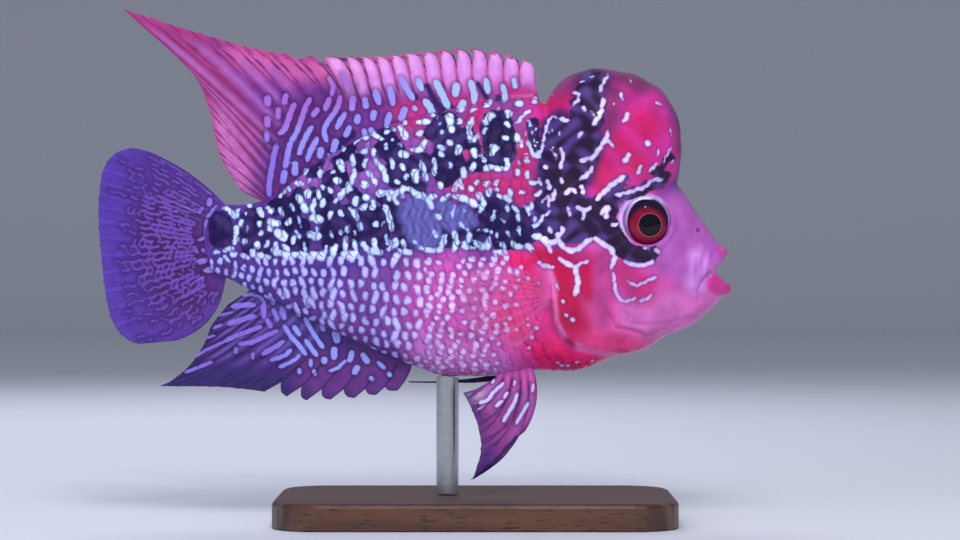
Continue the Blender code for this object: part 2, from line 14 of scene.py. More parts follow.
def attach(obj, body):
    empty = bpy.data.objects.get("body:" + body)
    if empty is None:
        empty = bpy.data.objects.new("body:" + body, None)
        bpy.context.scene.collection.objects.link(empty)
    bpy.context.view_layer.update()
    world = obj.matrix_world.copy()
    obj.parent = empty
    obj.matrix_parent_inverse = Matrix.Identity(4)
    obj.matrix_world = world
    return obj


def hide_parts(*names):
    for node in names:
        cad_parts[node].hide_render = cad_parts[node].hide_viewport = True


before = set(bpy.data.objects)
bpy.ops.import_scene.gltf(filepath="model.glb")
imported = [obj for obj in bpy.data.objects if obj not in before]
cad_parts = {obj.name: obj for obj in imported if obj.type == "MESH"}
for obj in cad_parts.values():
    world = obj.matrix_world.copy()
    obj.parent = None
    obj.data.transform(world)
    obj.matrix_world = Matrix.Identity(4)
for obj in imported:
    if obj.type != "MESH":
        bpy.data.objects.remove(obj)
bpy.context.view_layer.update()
mm = 0.001
chance = np.random.default_rng(7)

photo = {
    "mmPerPixel": 0.19685,      # at the distance of the fish
    "originX": 414.5, "originY": 520.0,   # where the part's own origin falls
    "camera": (12.9, -525.0, 49.2),
}


def fromPhoto(points):
    # pixels of the photograph to millimetres in the side view
    points = np.array(points, float)
    x = (points[..., 0] - photo["originX"]) * photo["mmPerPixel"]
    z = (photo["originY"] - points[..., 1]) * photo["mmPerPixel"]
    return np.stack([x, z], axis=-1)


def strokeLine(ends):
    # the points of a stroke, whose x and y follow each other, in millimetres
    return fromPhoto(np.reshape(ends, (-1, 2)))


def toPhoto(x, z):
    # millimetres in the side view back to pixels
    scale = photo["mmPerPixel"]
    return x / scale + photo["originX"], photo["originY"] - z / scale


def seenAt(x, y, z):
    # where the camera sees a point of the near side against the fish's middle plane; the
    # far side is treated as if a second camera stood there
    cameraX, cameraY, cameraZ = photo["camera"]
    share = cameraY / (cameraY + np.abs(y))
    return cameraX + (x - cameraX) * share, cameraZ + (z - cameraZ) * share


def hexColour(code):
    # an sRGB hex colour as the linear one that shaders take
    parts = [int(code[i:i + 2], 16) / 255 for i in (1, 3, 5)]
    return (*[c / 12.92 if c <= 0.04045 else ((c + 0.055) / 1.055) ** 2.4 for c in parts], 1.0)


def blended(colours, code, weight):
    # a colour at every point, moved by its weight towards one hex colour
    return colours + (np.array(hexColour(code)[:3]) - colours) * weight[:, None]


def throughKnots(knots):
    # a smooth curve through rows of (t, value, ...) that never overshoots them
    rows = np.array(knots, float)
    ts, values = rows[:, 0], rows[:, 1:]
    steps = np.diff(ts)
    secants = np.diff(values, axis=0) / steps[:, None]
    slopes = np.zeros_like(values)
    slopes[0], slopes[-1] = secants[0], secants[-1]
    product = secants[:-1] * secants[1:]
    total = np.where(product > 0, secants[:-1] + secants[1:], 1.0)
    slopes[1:-1] = np.where(product > 0, 2 * product / total, 0.0)

    def value(t):
        t = np.clip(np.asarray(t, float), ts[0], ts[-1])
        i = np.clip(np.searchsorted(ts, t, side="right") - 1, 0, len(ts) - 2)
        s = ((t - ts[i]) / steps[i])[..., None]
        step = steps[i][..., None]
        out = ((1 + 2 * s) * (1 - s) ** 2 * values[i] + s * (1 - s) ** 2 * step * slopes[i]
               + s * s * (3 - 2 * s) * values[i + 1] + s * s * (s - 1) * step * slopes[i + 1])
        return out[..., 0] if out.shape[-1] == 1 else out

    return value


def fade(value, start, end):
    # 0 at start, 1 at end, smooth between
    t = np.clip((value - start) / (end - start), 0, 1)
    return t * t * (3 - 2 * t)


def toMesh(bm, name, material=None):
    mesh = bpy.data.meshes.new(name)
    bm.to_mesh(mesh)
    bm.free()
    mesh.shade_smooth()
    piece = bpy.data.objects.new(name, mesh)
    bpy.context.collection.objects.link(piece)
    if material:
        mesh.materials.append(material)
    return piece


def applyModifiers(piece):
    graph = bpy.context.evaluated_depsgraph_get()
    shaped = bpy.data.meshes.new_from_object(piece.evaluated_get(graph))
    piece.modifiers.clear()
    old, piece.data = piece.data, shaped
    bpy.data.meshes.remove(old)


def pointsOf(mesh):
    flat = np.empty(len(mesh.vertices) * 3)
    mesh.vertices.foreach_get("co", flat)
    return flat.reshape(-1, 3) / mm


def movePoints(mesh, points):
    mesh.vertices.foreach_set("co", (points * mm).ravel())
    mesh.update()


def normalsOf(mesh):
    flat = np.empty(len(mesh.vertices) * 3)
    mesh.vertices.foreach_get("normal", flat)
    return flat.reshape(-1, 3)


def gridForm(columns, rows, place):
    # a grid laid along place(u, w), which takes both from 0 to 1, welded and closed
    bm = bmesh.new()
    bmesh.ops.create_grid(bm, x_segments=columns, y_segments=rows, size=0.5)
    flat = np.array([v.co[:2] for v in bm.verts]) + 0.5
    for v, spot in zip(bm.verts, place(flat[:, 0], flat[:, 1])):
        v.co = spot * mm
    bmesh.ops.remove_doubles(bm, verts=bm.verts, dist=0.01 * mm)
    bmesh.ops.holes_fill(bm, edges=[e for e in bm.edges if e.is_boundary])
    bmesh.ops.recalc_face_normals(bm, faces=bm.faces)
    return bm


def ballForm(centre, radii, segments):
    bm = bmesh.new()
    bmesh.ops.create_uvsphere(bm, u_segments=segments, v_segments=segments // 2, radius=1)
    for v in bm.verts:
        v.co = Vector([(centre[i] + radii[i] * v.co[i]) * mm for i in range(3)])
    return bm


def lineDistance(x, z, line):
    # how far points of the side view lie from a line, and on which side, + to its left
    best, side = np.full(len(x), 1e9), np.zeros(len(x))
    for (ax, az), (bx, bz) in zip(line[:-1], line[1:]):
        dx, dz = bx - ax, bz - az
        t = np.clip(((x - ax) * dx + (z - az) * dz) / max(dx * dx + dz * dz, 1e-9), 0, 1)
        away = np.hypot(x - ax - t * dx, z - az - t * dz)
        near = away < best
        best = np.where(near, away, best)
        side = np.where(near, np.sign(dx * (z - az) - dz * (x - ax)), side)
    return best, best * side


def areaDistance(x, z, strokes):
    # distance outside an area made of thick strokes, below 0 inside it
    best = np.full(len(x), 1e9)
    for radius, *ends in strokes:
        away = lineDistance(x, z, strokeLine(ends))[0] - radius * photo["mmPerPixel"]
        best = np.minimum(best, away)
    return best


def addNode(tree, kind, feeds=None, **settings):
    # one shader node with its settings, and what feeds each of its sockets
    made = tree.nodes.new(kind)
    for key, value in settings.items():
        setattr(made, key, value)
    for key, value in (feeds or {}).items():
        if isinstance(value, bpy.types.NodeSocket):
            tree.links.new(value, made.inputs[key])
        else:
            made.inputs[key].default_value = value
    return made


def newMaterial(name, **sockets):
    material = bpy.data.materials.new(name)
    material.use_nodes = True
    shader = material.node_tree.nodes["Principled BSDF"]
    for key, value in sockets.items():
        shader.inputs[key.replace("_", " ")].default_value = value
    return material, material.node_tree, shader


def storeNumbers(mesh, name, values):
    layer = mesh.attributes.new(name, "FLOAT", "POINT")
    layer.data.foreach_set("value", np.asarray(values, np.float32))


def storeColours(mesh, name, values):
    layer = mesh.attributes.new(name, "FLOAT_COLOR", "POINT")
    full = np.ones((len(values), 4), np.float32)
    full[:, :3] = values
    layer.data.foreach_set("color", full.ravel())


def triangles(piece):
    piece.data.calc_loop_triangles()
    return len(piece.data.loop_triangles)


body = {
    # outlines in the side view, as (x, z), from the tail to the mouth
    "top": [(-43.0, 62.1), (-34.0, 62.2), (-30.0, 62.9), (-18.6, 70.8), (-3.0, 78.6),
            (12.0, 82.0), (20.0, 83.0), (23.6, 83.2), (25.4, 81.8), (28.0, 78.6),
            (31.0, 77.0), (38.0, 74.0), (46.0, 69.6), (51.4, 66.2), (55.8, 60.0),
            (58.2, 56.6), (60.0, 54.0), (61.0, 52.0)],
    "bottom": [(-43.0, 48.4), (-37.5, 47.6), (-33.4, 45.6), (-12.0, 35.2), (-0.5, 30.3),
               (7.0, 28.2), (15.0, 28.2), (23.0, 29.4), (30.6, 29.3), (40.0, 32.3),
               (46.0, 33.9), (48.9, 36.0), (54.2, 38.2), (57.2, 40.5), (59.7, 43.0),
               (61.0, 45.2)],
    "width": [(-43.0, 0.6), (-41.0, 1.4), (-37.0, 2.7), (-30.0, 4.0), (-20.0, 5.8),
              (-5.0, 8.2), (10.0, 9.9), (25.0, 10.9), (34.0, 11.1), (45.0, 9.8),
              (52.0, 7.9), (57.0, 6.0), (60.0, 4.6), (61.0, 3.9)],
    "flatHalf": 0.8,            # half width of the strip that the long fins stand on
    "widestAt": 0.46,           # height of the widest line, as a share of the depth
    "backFullness": 2.0, "bellyFullness": 2.4,
    "tailX": -42.6, "mouthX": 61.0, "tailArc": (-31.5, 54.9, 10.0, 10.2),
    "humpTop": 36.5, "humpMid": 73.2, "humpRear": 12.2, "humpFront": 16.0,
    "humpRise": 15.5, "humpDrop": 17.0, "humpHalf": 10.0, "humpFullness": 2.3,
    "mouthCorner": (57.4, 4.6, 49.0),
    "upperLip": (60.4, 52.6), "lowerLip": (61.1, 45.4), "lipRadius": 1.3,
    "gape": [(58.3, 49.0), (61.6, 46.4), (66.0, 44.0), (66.0, 54.0), (61.2, 51.6)],
    "gapeHalf": 20.0, "mouthCentre": (62.4, 0, 49.0), "mouthRadii": (6.6, 3.9, 2.9),
    "grain": 0.4,               # spacing of the skin's mesh
}
topLine = throughKnots(body["top"])
bottomLine = throughKnots(body["bottom"])
widthLine = throughKnots(body["width"])

eye = {
    "centre": (45.0, 5.9, 58.6), "radius": 4.85, "depth": 4.0, "fullness": 2.9,
    "iris": (45.4, 58.5), "irisRadius": 3.95, "irisTall": 1.14,    # height to width
    "pupil": (45.75, 57.9), "pupilRadius": 2.22,
    "lid": (45.3, 56.9), "lidShade": (3.1, 4.3),    # the upper lid shades what lies outside
    "highlightCrescent": ((1.6, 3.0), (4.2, 4.45)),  # fades of the painted highlight, a pale crescent, inwards and outwards
    "socketGap": 0.05, "socketDepth": 9.0,
}


def bodyHalf(x, z):
    # half width of the body at x and z
    top, low = topLine(x), bottomLine(x)
    widest = low + body["widestAt"] * (top - low)
    above = z > widest
    share = np.where(above, (z - widest) / (top - widest), (widest - z) / (widest - low))
    power = np.where(above, body["backFullness"], body["bellyFullness"])
    full = np.sqrt(1 - np.clip(share, 0, 1) ** power)
    return body["flatHalf"] + (widthLine(x) - body["flatHalf"]) * full


def bodyRing(u, w):
    x = body["tailX"] + (body["mouthX"] - body["tailX"]) * u
    turn, side = -np.cos(2 * math.pi * w), np.sin(2 * math.pi * w)
    top, low = topLine(x), bottomLine(x)
    widest = low + body["widestAt"] * (top - low)
    z = widest + turn * np.where(turn > 0, top - widest, widest - low)
    y = bodyHalf(x, z) * np.sign(side) * np.clip(np.abs(side) * 6, 0, 1)
    arcX, arcZ, reachX, reachZ = body["tailArc"]     # the fin's root is an arc
    level = np.clip((z - arcZ) / reachZ, -1, 1)
    x = np.maximum(x, arcX - reachX * np.sqrt(1 - level ** 2))
    return np.stack([x, np.where(np.abs(side) < 1e-6, 0, y), z], axis=-1)


def lipRing(u, w):
    # the two lips run round the open mouth from corner to corner
    turn = 2 * math.pi * u
    up = np.sin(turn)
    lift = np.abs(up)
    cornerX, cornerY, cornerZ = body["mouthCorner"]
    front = np.where(up > 0, body["upperLip"][0], body["lowerLip"][0])
    level = np.where(up > 0, body["upperLip"][1], body["lowerLip"][1])
    path = np.stack([cornerX + (front - cornerX) * lift ** 1.3, cornerY * np.cos(turn),
                     cornerZ + (level - cornerZ) * lift ** 0.7], axis=-1)
    outward = path - np.array([cornerX, 0, cornerZ])
    outward[:, 0] = 0
    outward /= np.linalg.norm(outward, axis=1)[:, None]
    around = 2 * math.pi * w
    radius = body["lipRadius"] * (0.55 + 0.45 * lift)
    off = outward * np.cos(around)[:, None]
    off[:, 0] += np.sin(around)
    return path + off * radius[:, None]


def buildSkin():
    trunk = toMesh(gridForm(150, 96, bodyRing), "trunkForm")
    gape = bmesh.new()
    ring = [gape.verts.new((x * mm, -body["gapeHalf"] * mm, z * mm)) for x, z in body["gape"]]
    sheet = gape.faces.new(ring)
    pushed = bmesh.ops.extrude_face_region(gape, geom=[sheet])["geom"]
    bmesh.ops.translate(gape, verts=[v for v in pushed if isinstance(v, bmesh.types.BMVert)],
                        vec=(0, 2 * body["gapeHalf"] * mm, 0))
    bmesh.ops.recalc_face_normals(gape, faces=gape.faces)
    cutters = [toMesh(gape, "gapeForm"),
               toMesh(ballForm(body["mouthCentre"], body["mouthRadii"], 24), "mouthForm")]
    for side in (-1, 1):
        x, y, z = eye["centre"]
        reach = eye["radius"] - eye["socketGap"]
        cutters.append(toMesh(ballForm((x, side * (y + 0.1), z), (
            reach, eye["socketDepth"], reach), 32), "socketForm"))
    for cutter in cutters:
        cut = trunk.modifiers.new(cutter.name, "BOOLEAN")
        cut.operation, cut.solver, cut.object = "DIFFERENCE", "EXACT", cutter
    applyModifiers(trunk)
    for cutter in cutters:
        bpy.data.objects.remove(cutter)

    hump = ballForm((0, 0, 0), (1 / mm, 1 / mm, 1 / mm), 48)
    power = 2 / body["humpFullness"]
    for v in hump.verts:
        full = [math.copysign(abs(c) ** power, c) for c in v.co]
        reachX = body["humpFront"] if full[0] > 0 else body["humpRear"]
        reachZ = body["humpRise"] if full[2] > 0 else body["humpDrop"]
        v.co = Vector((body["humpTop"] + reachX * full[0], body["humpHalf"] * full[1],
                       body["humpMid"] + reachZ * full[2])) * mm
    whole = bmesh.new()
    for form in (hump, gridForm(64, 20, lipRing)):
        part = bpy.data.meshes.new("form")
        form.to_mesh(part)
        form.free()
        whole.from_mesh(part)
        bpy.data.meshes.remove(part)
    whole.from_mesh(trunk.data)
    bpy.data.objects.remove(trunk)
    skin = toMesh(whole, "skin")
    remesh = skin.modifiers.new("oneSkin", "REMESH")
    remesh.mode, remesh.voxel_size = "VOXEL", body["grain"] * mm
    soften = skin.modifiers.new("soften", "SMOOTH")
    soften.factor, soften.iterations = 0.5, 5
    applyModifiers(skin)

    # the swelling runs out softly onto the sides of the head
    x, y, z = pointsOf(skin.data).T
    reachX = np.where(x > body["humpTop"], body["humpFront"], body["humpRear"])
    reachZ = np.where(z > body["humpMid"], body["humpRise"], body["humpDrop"])
    full = (np.abs((x - body["humpTop"]) / reachX) ** body["humpFullness"]
            + np.abs(y / body["humpHalf"]) ** body["humpFullness"]
            + np.abs((z - body["humpMid"]) / reachZ) ** body["humpFullness"])
    full **= 1 / body["humpFullness"]
    join = (np.exp(-((full - 1) / 0.16) ** 2) * np.exp(-((np.abs(y) - bodyHalf(x, z)) / 1.6) ** 2)
            * fade(z, 79, 74) * fade(np.abs(y), 2.0, 5.0) * fade(np.hypot(
                x - eye["centre"][0], z - eye["centre"][2]), 5.0, 6.2))
    group = skin.vertex_groups.new(name="softJoin")
    for index in np.nonzero(join > 0.05)[0]:
        group.add([int(index)], float(join[index]), "REPLACE")
    blend = skin.modifiers.new("softJoin", "SMOOTH")
    blend.factor, blend.iterations, blend.vertex_group = 0.7, 60, "softJoin"
    applyModifiers(skin)
    skin.vertex_groups.clear()
    return skin


skin = buildSkin()
print("skin:", triangles(skin), "triangles")

folds = {
    # lines of the head, in pixels of the photograph
    "gillCover": [(533, 212), (534, 232), (535, 250), (545, 265), (552, 280), (553, 300),
                  (555, 320), (562, 335), (575, 345), (590, 350), (605, 353), (624, 353)],
    "gillStep": 0.36,           # how far the cover's edge stands up from the shoulder
    "nostril": (699.5, 230.5), "nostrilRadius": 0.5, "nostrilDepth": 0.9,
    # creases of cheek, chin, jaw and throat, and with a minus the ridges of the upper lip:
    # how deep and how wide they are in millimetres, and where they run
    "creases": [
        (0.17, 0.45, [(605, 246), (600.5, 276), (602, 307), (615, 327), (640, 333)]),
        (0.14, 0.4, [(617, 268), (613, 290), (617, 308), (632, 318)]),
        (0.16, 0.5, [(626, 322), (645, 325.5), (665, 324), (685, 320), (703, 314)]),
        (0.45, 0.45, [(711, 273), (704, 280), (699, 290), (700, 301)]),
        (-0.3, 0.75, [(703, 247), (699, 257), (694, 270), (693, 286)]),
        (-0.34, 0.6, [(709, 251), (707, 262), (703, 276)]),
        (0.16, 0.4, [(650, 341), (668, 333), (690, 326)]),
        (0.16, 0.4, [(633, 349), (652, 338), (672, 329)]),
    ],
}


def carveSkin(skin):
    # the relief of the head, as a push along the normal at every point of the skin
    mesh = skin.data
    points, normals = pointsOf(mesh), normalsOf(mesh)
    y = points[:, 1]
    x, z = seenAt(*points.T)
    outside = fade(np.abs(normals[:, 1]), 0.15, 0.5)     # only where the skin faces sideways
    push = np.zeros(len(x))

    def swell(distance, width):
        return np.exp(-(distance / width) ** 2)

    # the cover of the gills: a step, with a furrow behind it and a rim along its edge
    _, side = lineDistance(x, z, fromPhoto(folds["gillCover"]))
    upper = fade(z, 61.5, 57.0) * fade(x, 60, 45) * fade(z, 25, 33)
    cover = folds["gillStep"] * fade(side, -0.2, 0.35) * np.exp(-np.maximum(side, 0) / 7.0)
    push += (cover - 0.1 * swell(side + 0.55, 0.45) + 0.12 * swell(side - 1.1, 0.7)) * upper
    for depth, width, line in folds["creases"]:
        push -= depth * swell(lineDistance(x, z, fromPhoto(line))[0], width)
    # the first crease bounds the cheek, which is full beside it
    away, side = lineDistance(x, z, fromPhoto(folds["creases"][0][2]))
    push += 0.2 * swell(side - 1.1, 0.8) * fade(away, 4, 2)
    # the rim of the eye, and the shallow ring round that
    ring = np.hypot(points[:, 0] - eye["centre"][0], points[:, 2] - eye["centre"][2])
    push += 0.2 * swell(ring - 5.4, 0.5) - 0.07 * swell(ring - 6.6, 0.6)
    noseX, noseZ = fromPhoto(folds["nostril"])
    hole = np.hypot(x - noseX, z - noseZ)
    push -= folds["nostrilDepth"] * fade(hole, folds["nostrilRadius"] * 1.15, 0.15)
    push += 0.16 * swell(hole - 0.95, 0.28)
    push *= outside * fade(x, 22, 24)

    # the swelling and the cheeks are never quite even
    hump = fade(z, 68, 76) * fade(x, 24, 27)
    uneven = (np.sin(x * 0.62 + 1.4 * np.sin(z * 0.41) + y * 0.3)
              * np.sin(z * 0.57 + 1.1 * np.sin(x * 0.37) + 0.7))
    push += uneven * (0.16 * hump + 0.05 * fade(x, 20, 30))
    rear = np.hypot(x - 26.0, z - 76.0)
    push += 0.03 * np.sin(z * 3.4 + y * 0.8) * fade(rear, 7.0, 3.0) * fade(x, 23.5, 24.5)
    push -= 0.1 * fade(x, 26, 22)                 # the scales lie on the flank
    movePoints(mesh, points + normals * push[:, None])


carveSkin(skin)
print("skin: folds of the head carved")

# colours of the ground between the marks, laid one over the other as thick strokes in
# pixels of the photograph: colour, how softly it ends, then its strokes, each of them a
# radius and then x and y of every point
grounds = [
    ("#6b3f96", 40, [(60, 330, 140, 520, 150)]),
    ("#8a52a8", 16, [(10, 300, 178, 330, 165, 372, 172)]),
    ("#8b3d8c", 26, [(26, 395, 120, 520, 112), (26, 470, 180, 530, 160)]),
    ("#7a4398", 30, [(30, 400, 300, 360, 320)]),
    ("#c656b0", 34, [(40, 450, 300, 470, 345), (26, 520, 280, 530, 350)]),
    ("#cc78cc", 22, [(10, 425, 352, 500, 370)]),
    ("#de3c92", 26, [(28, 520, 305, 560, 350, 615, 347)]),
    ("#dc2e88", 16, [(12, 530, 290, 535, 335)]),
    ("#e4246e", 14, [(5, 504, 322, 514, 326), (12, 548, 352, 600, 358),
                     (6, 508, 258, 530, 264, 529, 282)]),
    ("#b3286c", 12, [(8, 520, 195, 527, 150, 545, 100), (7, 455, 182, 515, 188),
                     (7, 412, 118, 405, 108), (5, 470, 150, 476, 112),
                     (8, 505, 190, 535, 192)]),
    ("#c24ea4", 22, [(60, 640, 270, 680, 270), (40, 600, 300, 650, 320)]),
    ("#d6549c", 20, [(16, 600, 322, 650, 326)]),
    ("#a455aa", 18, [(20, 680, 215, 705, 250), (14, 665, 245, 700, 280)]),
    ("#cd68b6", 16, [(16, 640, 315, 690, 312), (10, 700, 300, 718, 300)]),
    ("#b62c76", 14, [(12, 622, 274, 640, 288), (6, 606, 258, 608, 290)]),
    ("#e03c84", 12, [(9, 588, 343, 628, 347)]),
    ("#b40a46", 16, [(13, 562, 262, 566, 300, 572, 322), (9, 584, 268, 588, 290),
                     (8, 540, 258, 552, 262)]),
    ("#b23d88", 9, [(6, 603, 262, 603, 320)]),
    ("#be2d8c", 10, [(45, 625, 125, 635, 150), (30, 560, 110, 575, 100),
                     (12, 600, 185, 645, 182)]),
    ("#bd1c62", 14, [(10, 600, 165, 606, 185), (9, 640, 120, 648, 128),
                     (8, 620, 140, 638, 165), (9, 552, 100, 560, 98)]),
    ("#74285f", 14, [(10, 560, 82, 580, 72, 612, 70, 640, 82), (4, 616, 92, 610, 128),
                     (1, 674, 105, 681, 130, 679, 150)]),
    ("#4f1c58", 9, [(16, 592, 84, 588, 120), (24, 565, 135, 560, 185),
                    (9, 594, 145, 584, 178)]),
    ("#bf7ccb", 11, [(7, 700, 257, 697, 284)]),
    ("#aa66b8", 3, [(0.6, 696, 259, 695, 274), (0.6, 702, 260, 701, 277)]),
    ("#b25ac4", 5, [(5, 712, 247, 718, 250)]), ("#c2489e", 4, [(4, 721, 250, 726, 253)]),
    ("#c43490", 5, [(8, 716, 283, 731, 290)]),
    ("#d6489c", 9, [(3, 540, 268, 549, 284, 550, 300)]),
    # a thin pale line on the rim of the gills' cover: paler membrane, and a painted highlight
    # along the edge
    ("#e27cbc", 4, [(0.9, 548, 268, 554, 284, 554, 302, 556, 322, 564, 337),
                    (0.9, 577, 346, 590, 350.5, 605, 353.5, 616, 353.5)]),
    # a thin dark crimson line just behind the cover's edge: painted shade in the furrow there
    ("#a0205e", 4, [(0.7, 551, 300, 553, 322, 560, 338, 573, 348)]),
]
blacks = [
    # strokes of the dark band and blotches
    (12, 592, 84, 588, 98), (15, 588, 104, 587, 120), (11, 560, 128, 585, 136),
    (20, 567, 146, 561, 160, 560, 180), (15, 566, 190, 560, 205), (16, 552, 216, 588, 215),
    (10, 607, 208, 604, 230), (4, 598, 201, 626, 179), (6, 564, 236, 590, 234),
    (4, 546, 238, 554, 236), (9, 612, 236, 626, 250, 648, 254),
    (6, 611, 222, 619, 240, 634, 250, 650, 251), (8, 594, 140, 586, 160, 578, 176),
    (7, 552, 124, 548, 150, 549, 172), (4.5, 612, 198, 640, 192, 664, 178),
    (2.5, 655, 172, 672, 158), (10.5, 220.5, 223, 221, 237), (12, 252, 221, 254, 245),
    (6, 266, 236, 270, 252), (5, 274, 206, 288, 206), (8, 291, 206, 292, 244),
    (6, 303, 226, 302, 246), (7, 322, 208, 330, 206), (12, 332, 214, 334, 240),
    (9, 346, 216, 347, 238), (11, 370, 216, 372, 234), (6, 358, 238, 378, 244),
    (6, 384, 212, 384, 240), (7, 399, 214, 400, 234), (4, 400, 244, 436, 244),
    (6, 436, 226, 448, 240), (5, 445, 206, 448, 216), (9, 464, 216, 470, 232),
    (7, 452, 238, 484, 240), (14, 492, 208, 494, 230), (10, 508, 214, 511, 238),
    (6, 524, 216, 526, 240), (8, 542, 206, 545, 216), (5, 536, 232, 548, 228),
    (5, 494, 240, 500, 246), (13, 446, 125, 450, 166), (10, 436, 132, 462, 140),
    (15, 497, 126, 500, 152), (8, 384, 136, 396, 150), (5.5, 380, 148, 392, 156),
    (9, 400, 168, 424, 164), (7, 404, 184, 418, 188), (8, 436, 162, 446, 178),
    (5, 393, 168, 394, 182), (4, 336, 160, 344, 182), (5, 330, 176, 326, 196),
    (5, 352, 192, 360, 200), (4, 382, 198, 388, 206), (3.5, 358, 158, 360, 168),
    (3, 314, 192, 318, 204), (5, 300, 194, 290, 204), (5, 282, 200, 276, 210),
    (4.5, 533, 124, 535, 146), (6, 474, 166, 482, 164), (5, 318, 160, 312, 172),
    (5, 350, 148, 344, 156), (5, 468, 132, 474, 150),
]
# misty patches in the band, grey and without pearls
greys = [(17, 416, 214, 424, 232), (9, 444, 208, 452, 222), (8, 462, 212, 468, 220)]
skinColours = {
    "base": "#523288", "black": "#1a0c40", "blackHead": "#22102f",
    "blackPale": "#57408a", "grey": "#6d6aba",
    "markUpper": "#bedcf4", "markRear": "#938bdf", "markBelly": "#e0aae6", "markHead": "#cfc0ec",
    "markBlue": "#8ab4f0",
    # the orbit's colour is a painted highlight on the rim above and behind the eye
    "mouth": "#571033", "orbitHighlight": "#c9bdf0",
}

# strokes of the pale marks
headSpots = [
    # from the crown over the swelling to the cover of the gills, the cheek and the temple
    (2.0, 608, 74, 606, 79, 602, 85, 600, 91), (2.7, 603.5, 99, 602, 108, 599.5, 117, 593, 124),
    (2.1, 572, 92.5, 579, 94, 578.5, 100, 572.5, 106), (2.0, 584, 108, 585, 110),
    (1.7, 542, 148, 544, 137, 547, 125, 551.5, 116, 557, 117.5), (2.8, 560, 119, 569, 121),
    (1.7, 542, 148, 539, 157, 534, 156, 531.5, 149), (1.6, 552.5, 129, 552.8, 131),
    (1.5, 559, 132, 560, 135), (2.4, 581, 133, 579, 137),
    (2.7, 607.5, 132, 606.5, 139, 601, 146, 594, 157, 587.5, 159, 581, 161),
    (2.0, 606.5, 139, 613, 146), (2.7, 592.5, 168, 587, 175, 580, 179), (1.6, 551, 149, 556, 156),
    (2.2, 561, 148, 563.5, 157, 560, 168), (3.0, 545.5, 167.5, 546.5, 168),
    (1.9, 561.5, 179, 562, 182), (2.8, 625.5, 176, 613.5, 183.5, 597, 199),
    (2.3, 663, 180, 653.5, 179.5, 645, 187, 630, 192, 616, 195), (3.6, 647.3, 143, 647.8, 143.5),
    (2.8, 628, 114.5, 624, 121.5), (1.8, 621, 93.5, 622.5, 100.5), (1.7, 629, 78, 631, 82),
    (2.0, 655.5, 102, 661.5, 105), (1.4, 670, 128.5, 671.5, 136), (2.9, 629, 155, 625, 160),
    (2.6, 641, 166, 638, 172.5), (1.6, 659, 149.5, 657.5, 155), (1.2, 672.5, 145.5, 663.5, 161.5),
    (1.8, 657.5, 163, 649.5, 171.5), (1.9, 673.5, 161, 672, 163.5), (1.6, 551.5, 94, 552.5, 95),
    (1.4, 589.5, 77, 594, 76.5), (1.5, 580.5, 82.5, 584, 81),
    (2.9, 540, 236, 546.5, 243, 558, 241, 564, 248, 572, 251.5, 580, 248, 588, 241, 592, 238.5),
    (2.6, 546.5, 243, 551, 252), (2.9, 557.5, 234, 559, 240),
    (2.3, 561.5, 227, 563, 232, 558, 236.5), (2.1, 549, 227, 551, 232),
    (3.0, 595, 238, 602, 243.5, 611.5, 249, 615, 258, 611.5, 268),
    (3.0, 560, 259, 567.5, 264, 575, 267.5, 577.5, 277, 578, 285, 575, 295.5),
    (1.9, 575, 267.5, 580, 263.5, 588, 261), (2.7, 538.5, 262.5, 545, 266, 553, 267.5),
    (1.5, 557, 284, 558, 289), (2.7, 563, 301, 563.6, 302), (2.2, 565, 314, 567, 316),
    (2.2, 572, 319, 574, 321), (2.4, 625, 262, 633, 264.5, 640, 266, 648, 264, 654, 261),
    (1.7, 627, 281, 636.5, 286, 647, 281, 657, 277),
    (1.8, 613.5, 273, 614.5, 283, 616, 293, 621, 301, 628.5, 301, 635, 298),
    # the last two strokes of the next line, small pale spots on the dark patch under the eye, are
    # painted glints
    (1.4, 640, 301, 647, 299, 653, 294), (1.8, 645, 248.5, 648, 249), (2.1, 655, 249, 659, 252),
    (3.4, 601, 213, 607, 207.5, 606, 217.5), (2.3, 613, 225, 618, 224),
    (2.4, 577, 207, 585, 211, 591, 207), (2.2, 585, 211, 582.5, 220), (2.2, 567.5, 207, 570, 215),
    (2.6, 565, 193.5, 572, 188.5, 576, 193), (2.8, 582, 187, 583, 192), (2.8, 548, 182, 550, 188),
    (2.4, 555, 190, 554, 198, 549, 202),
]
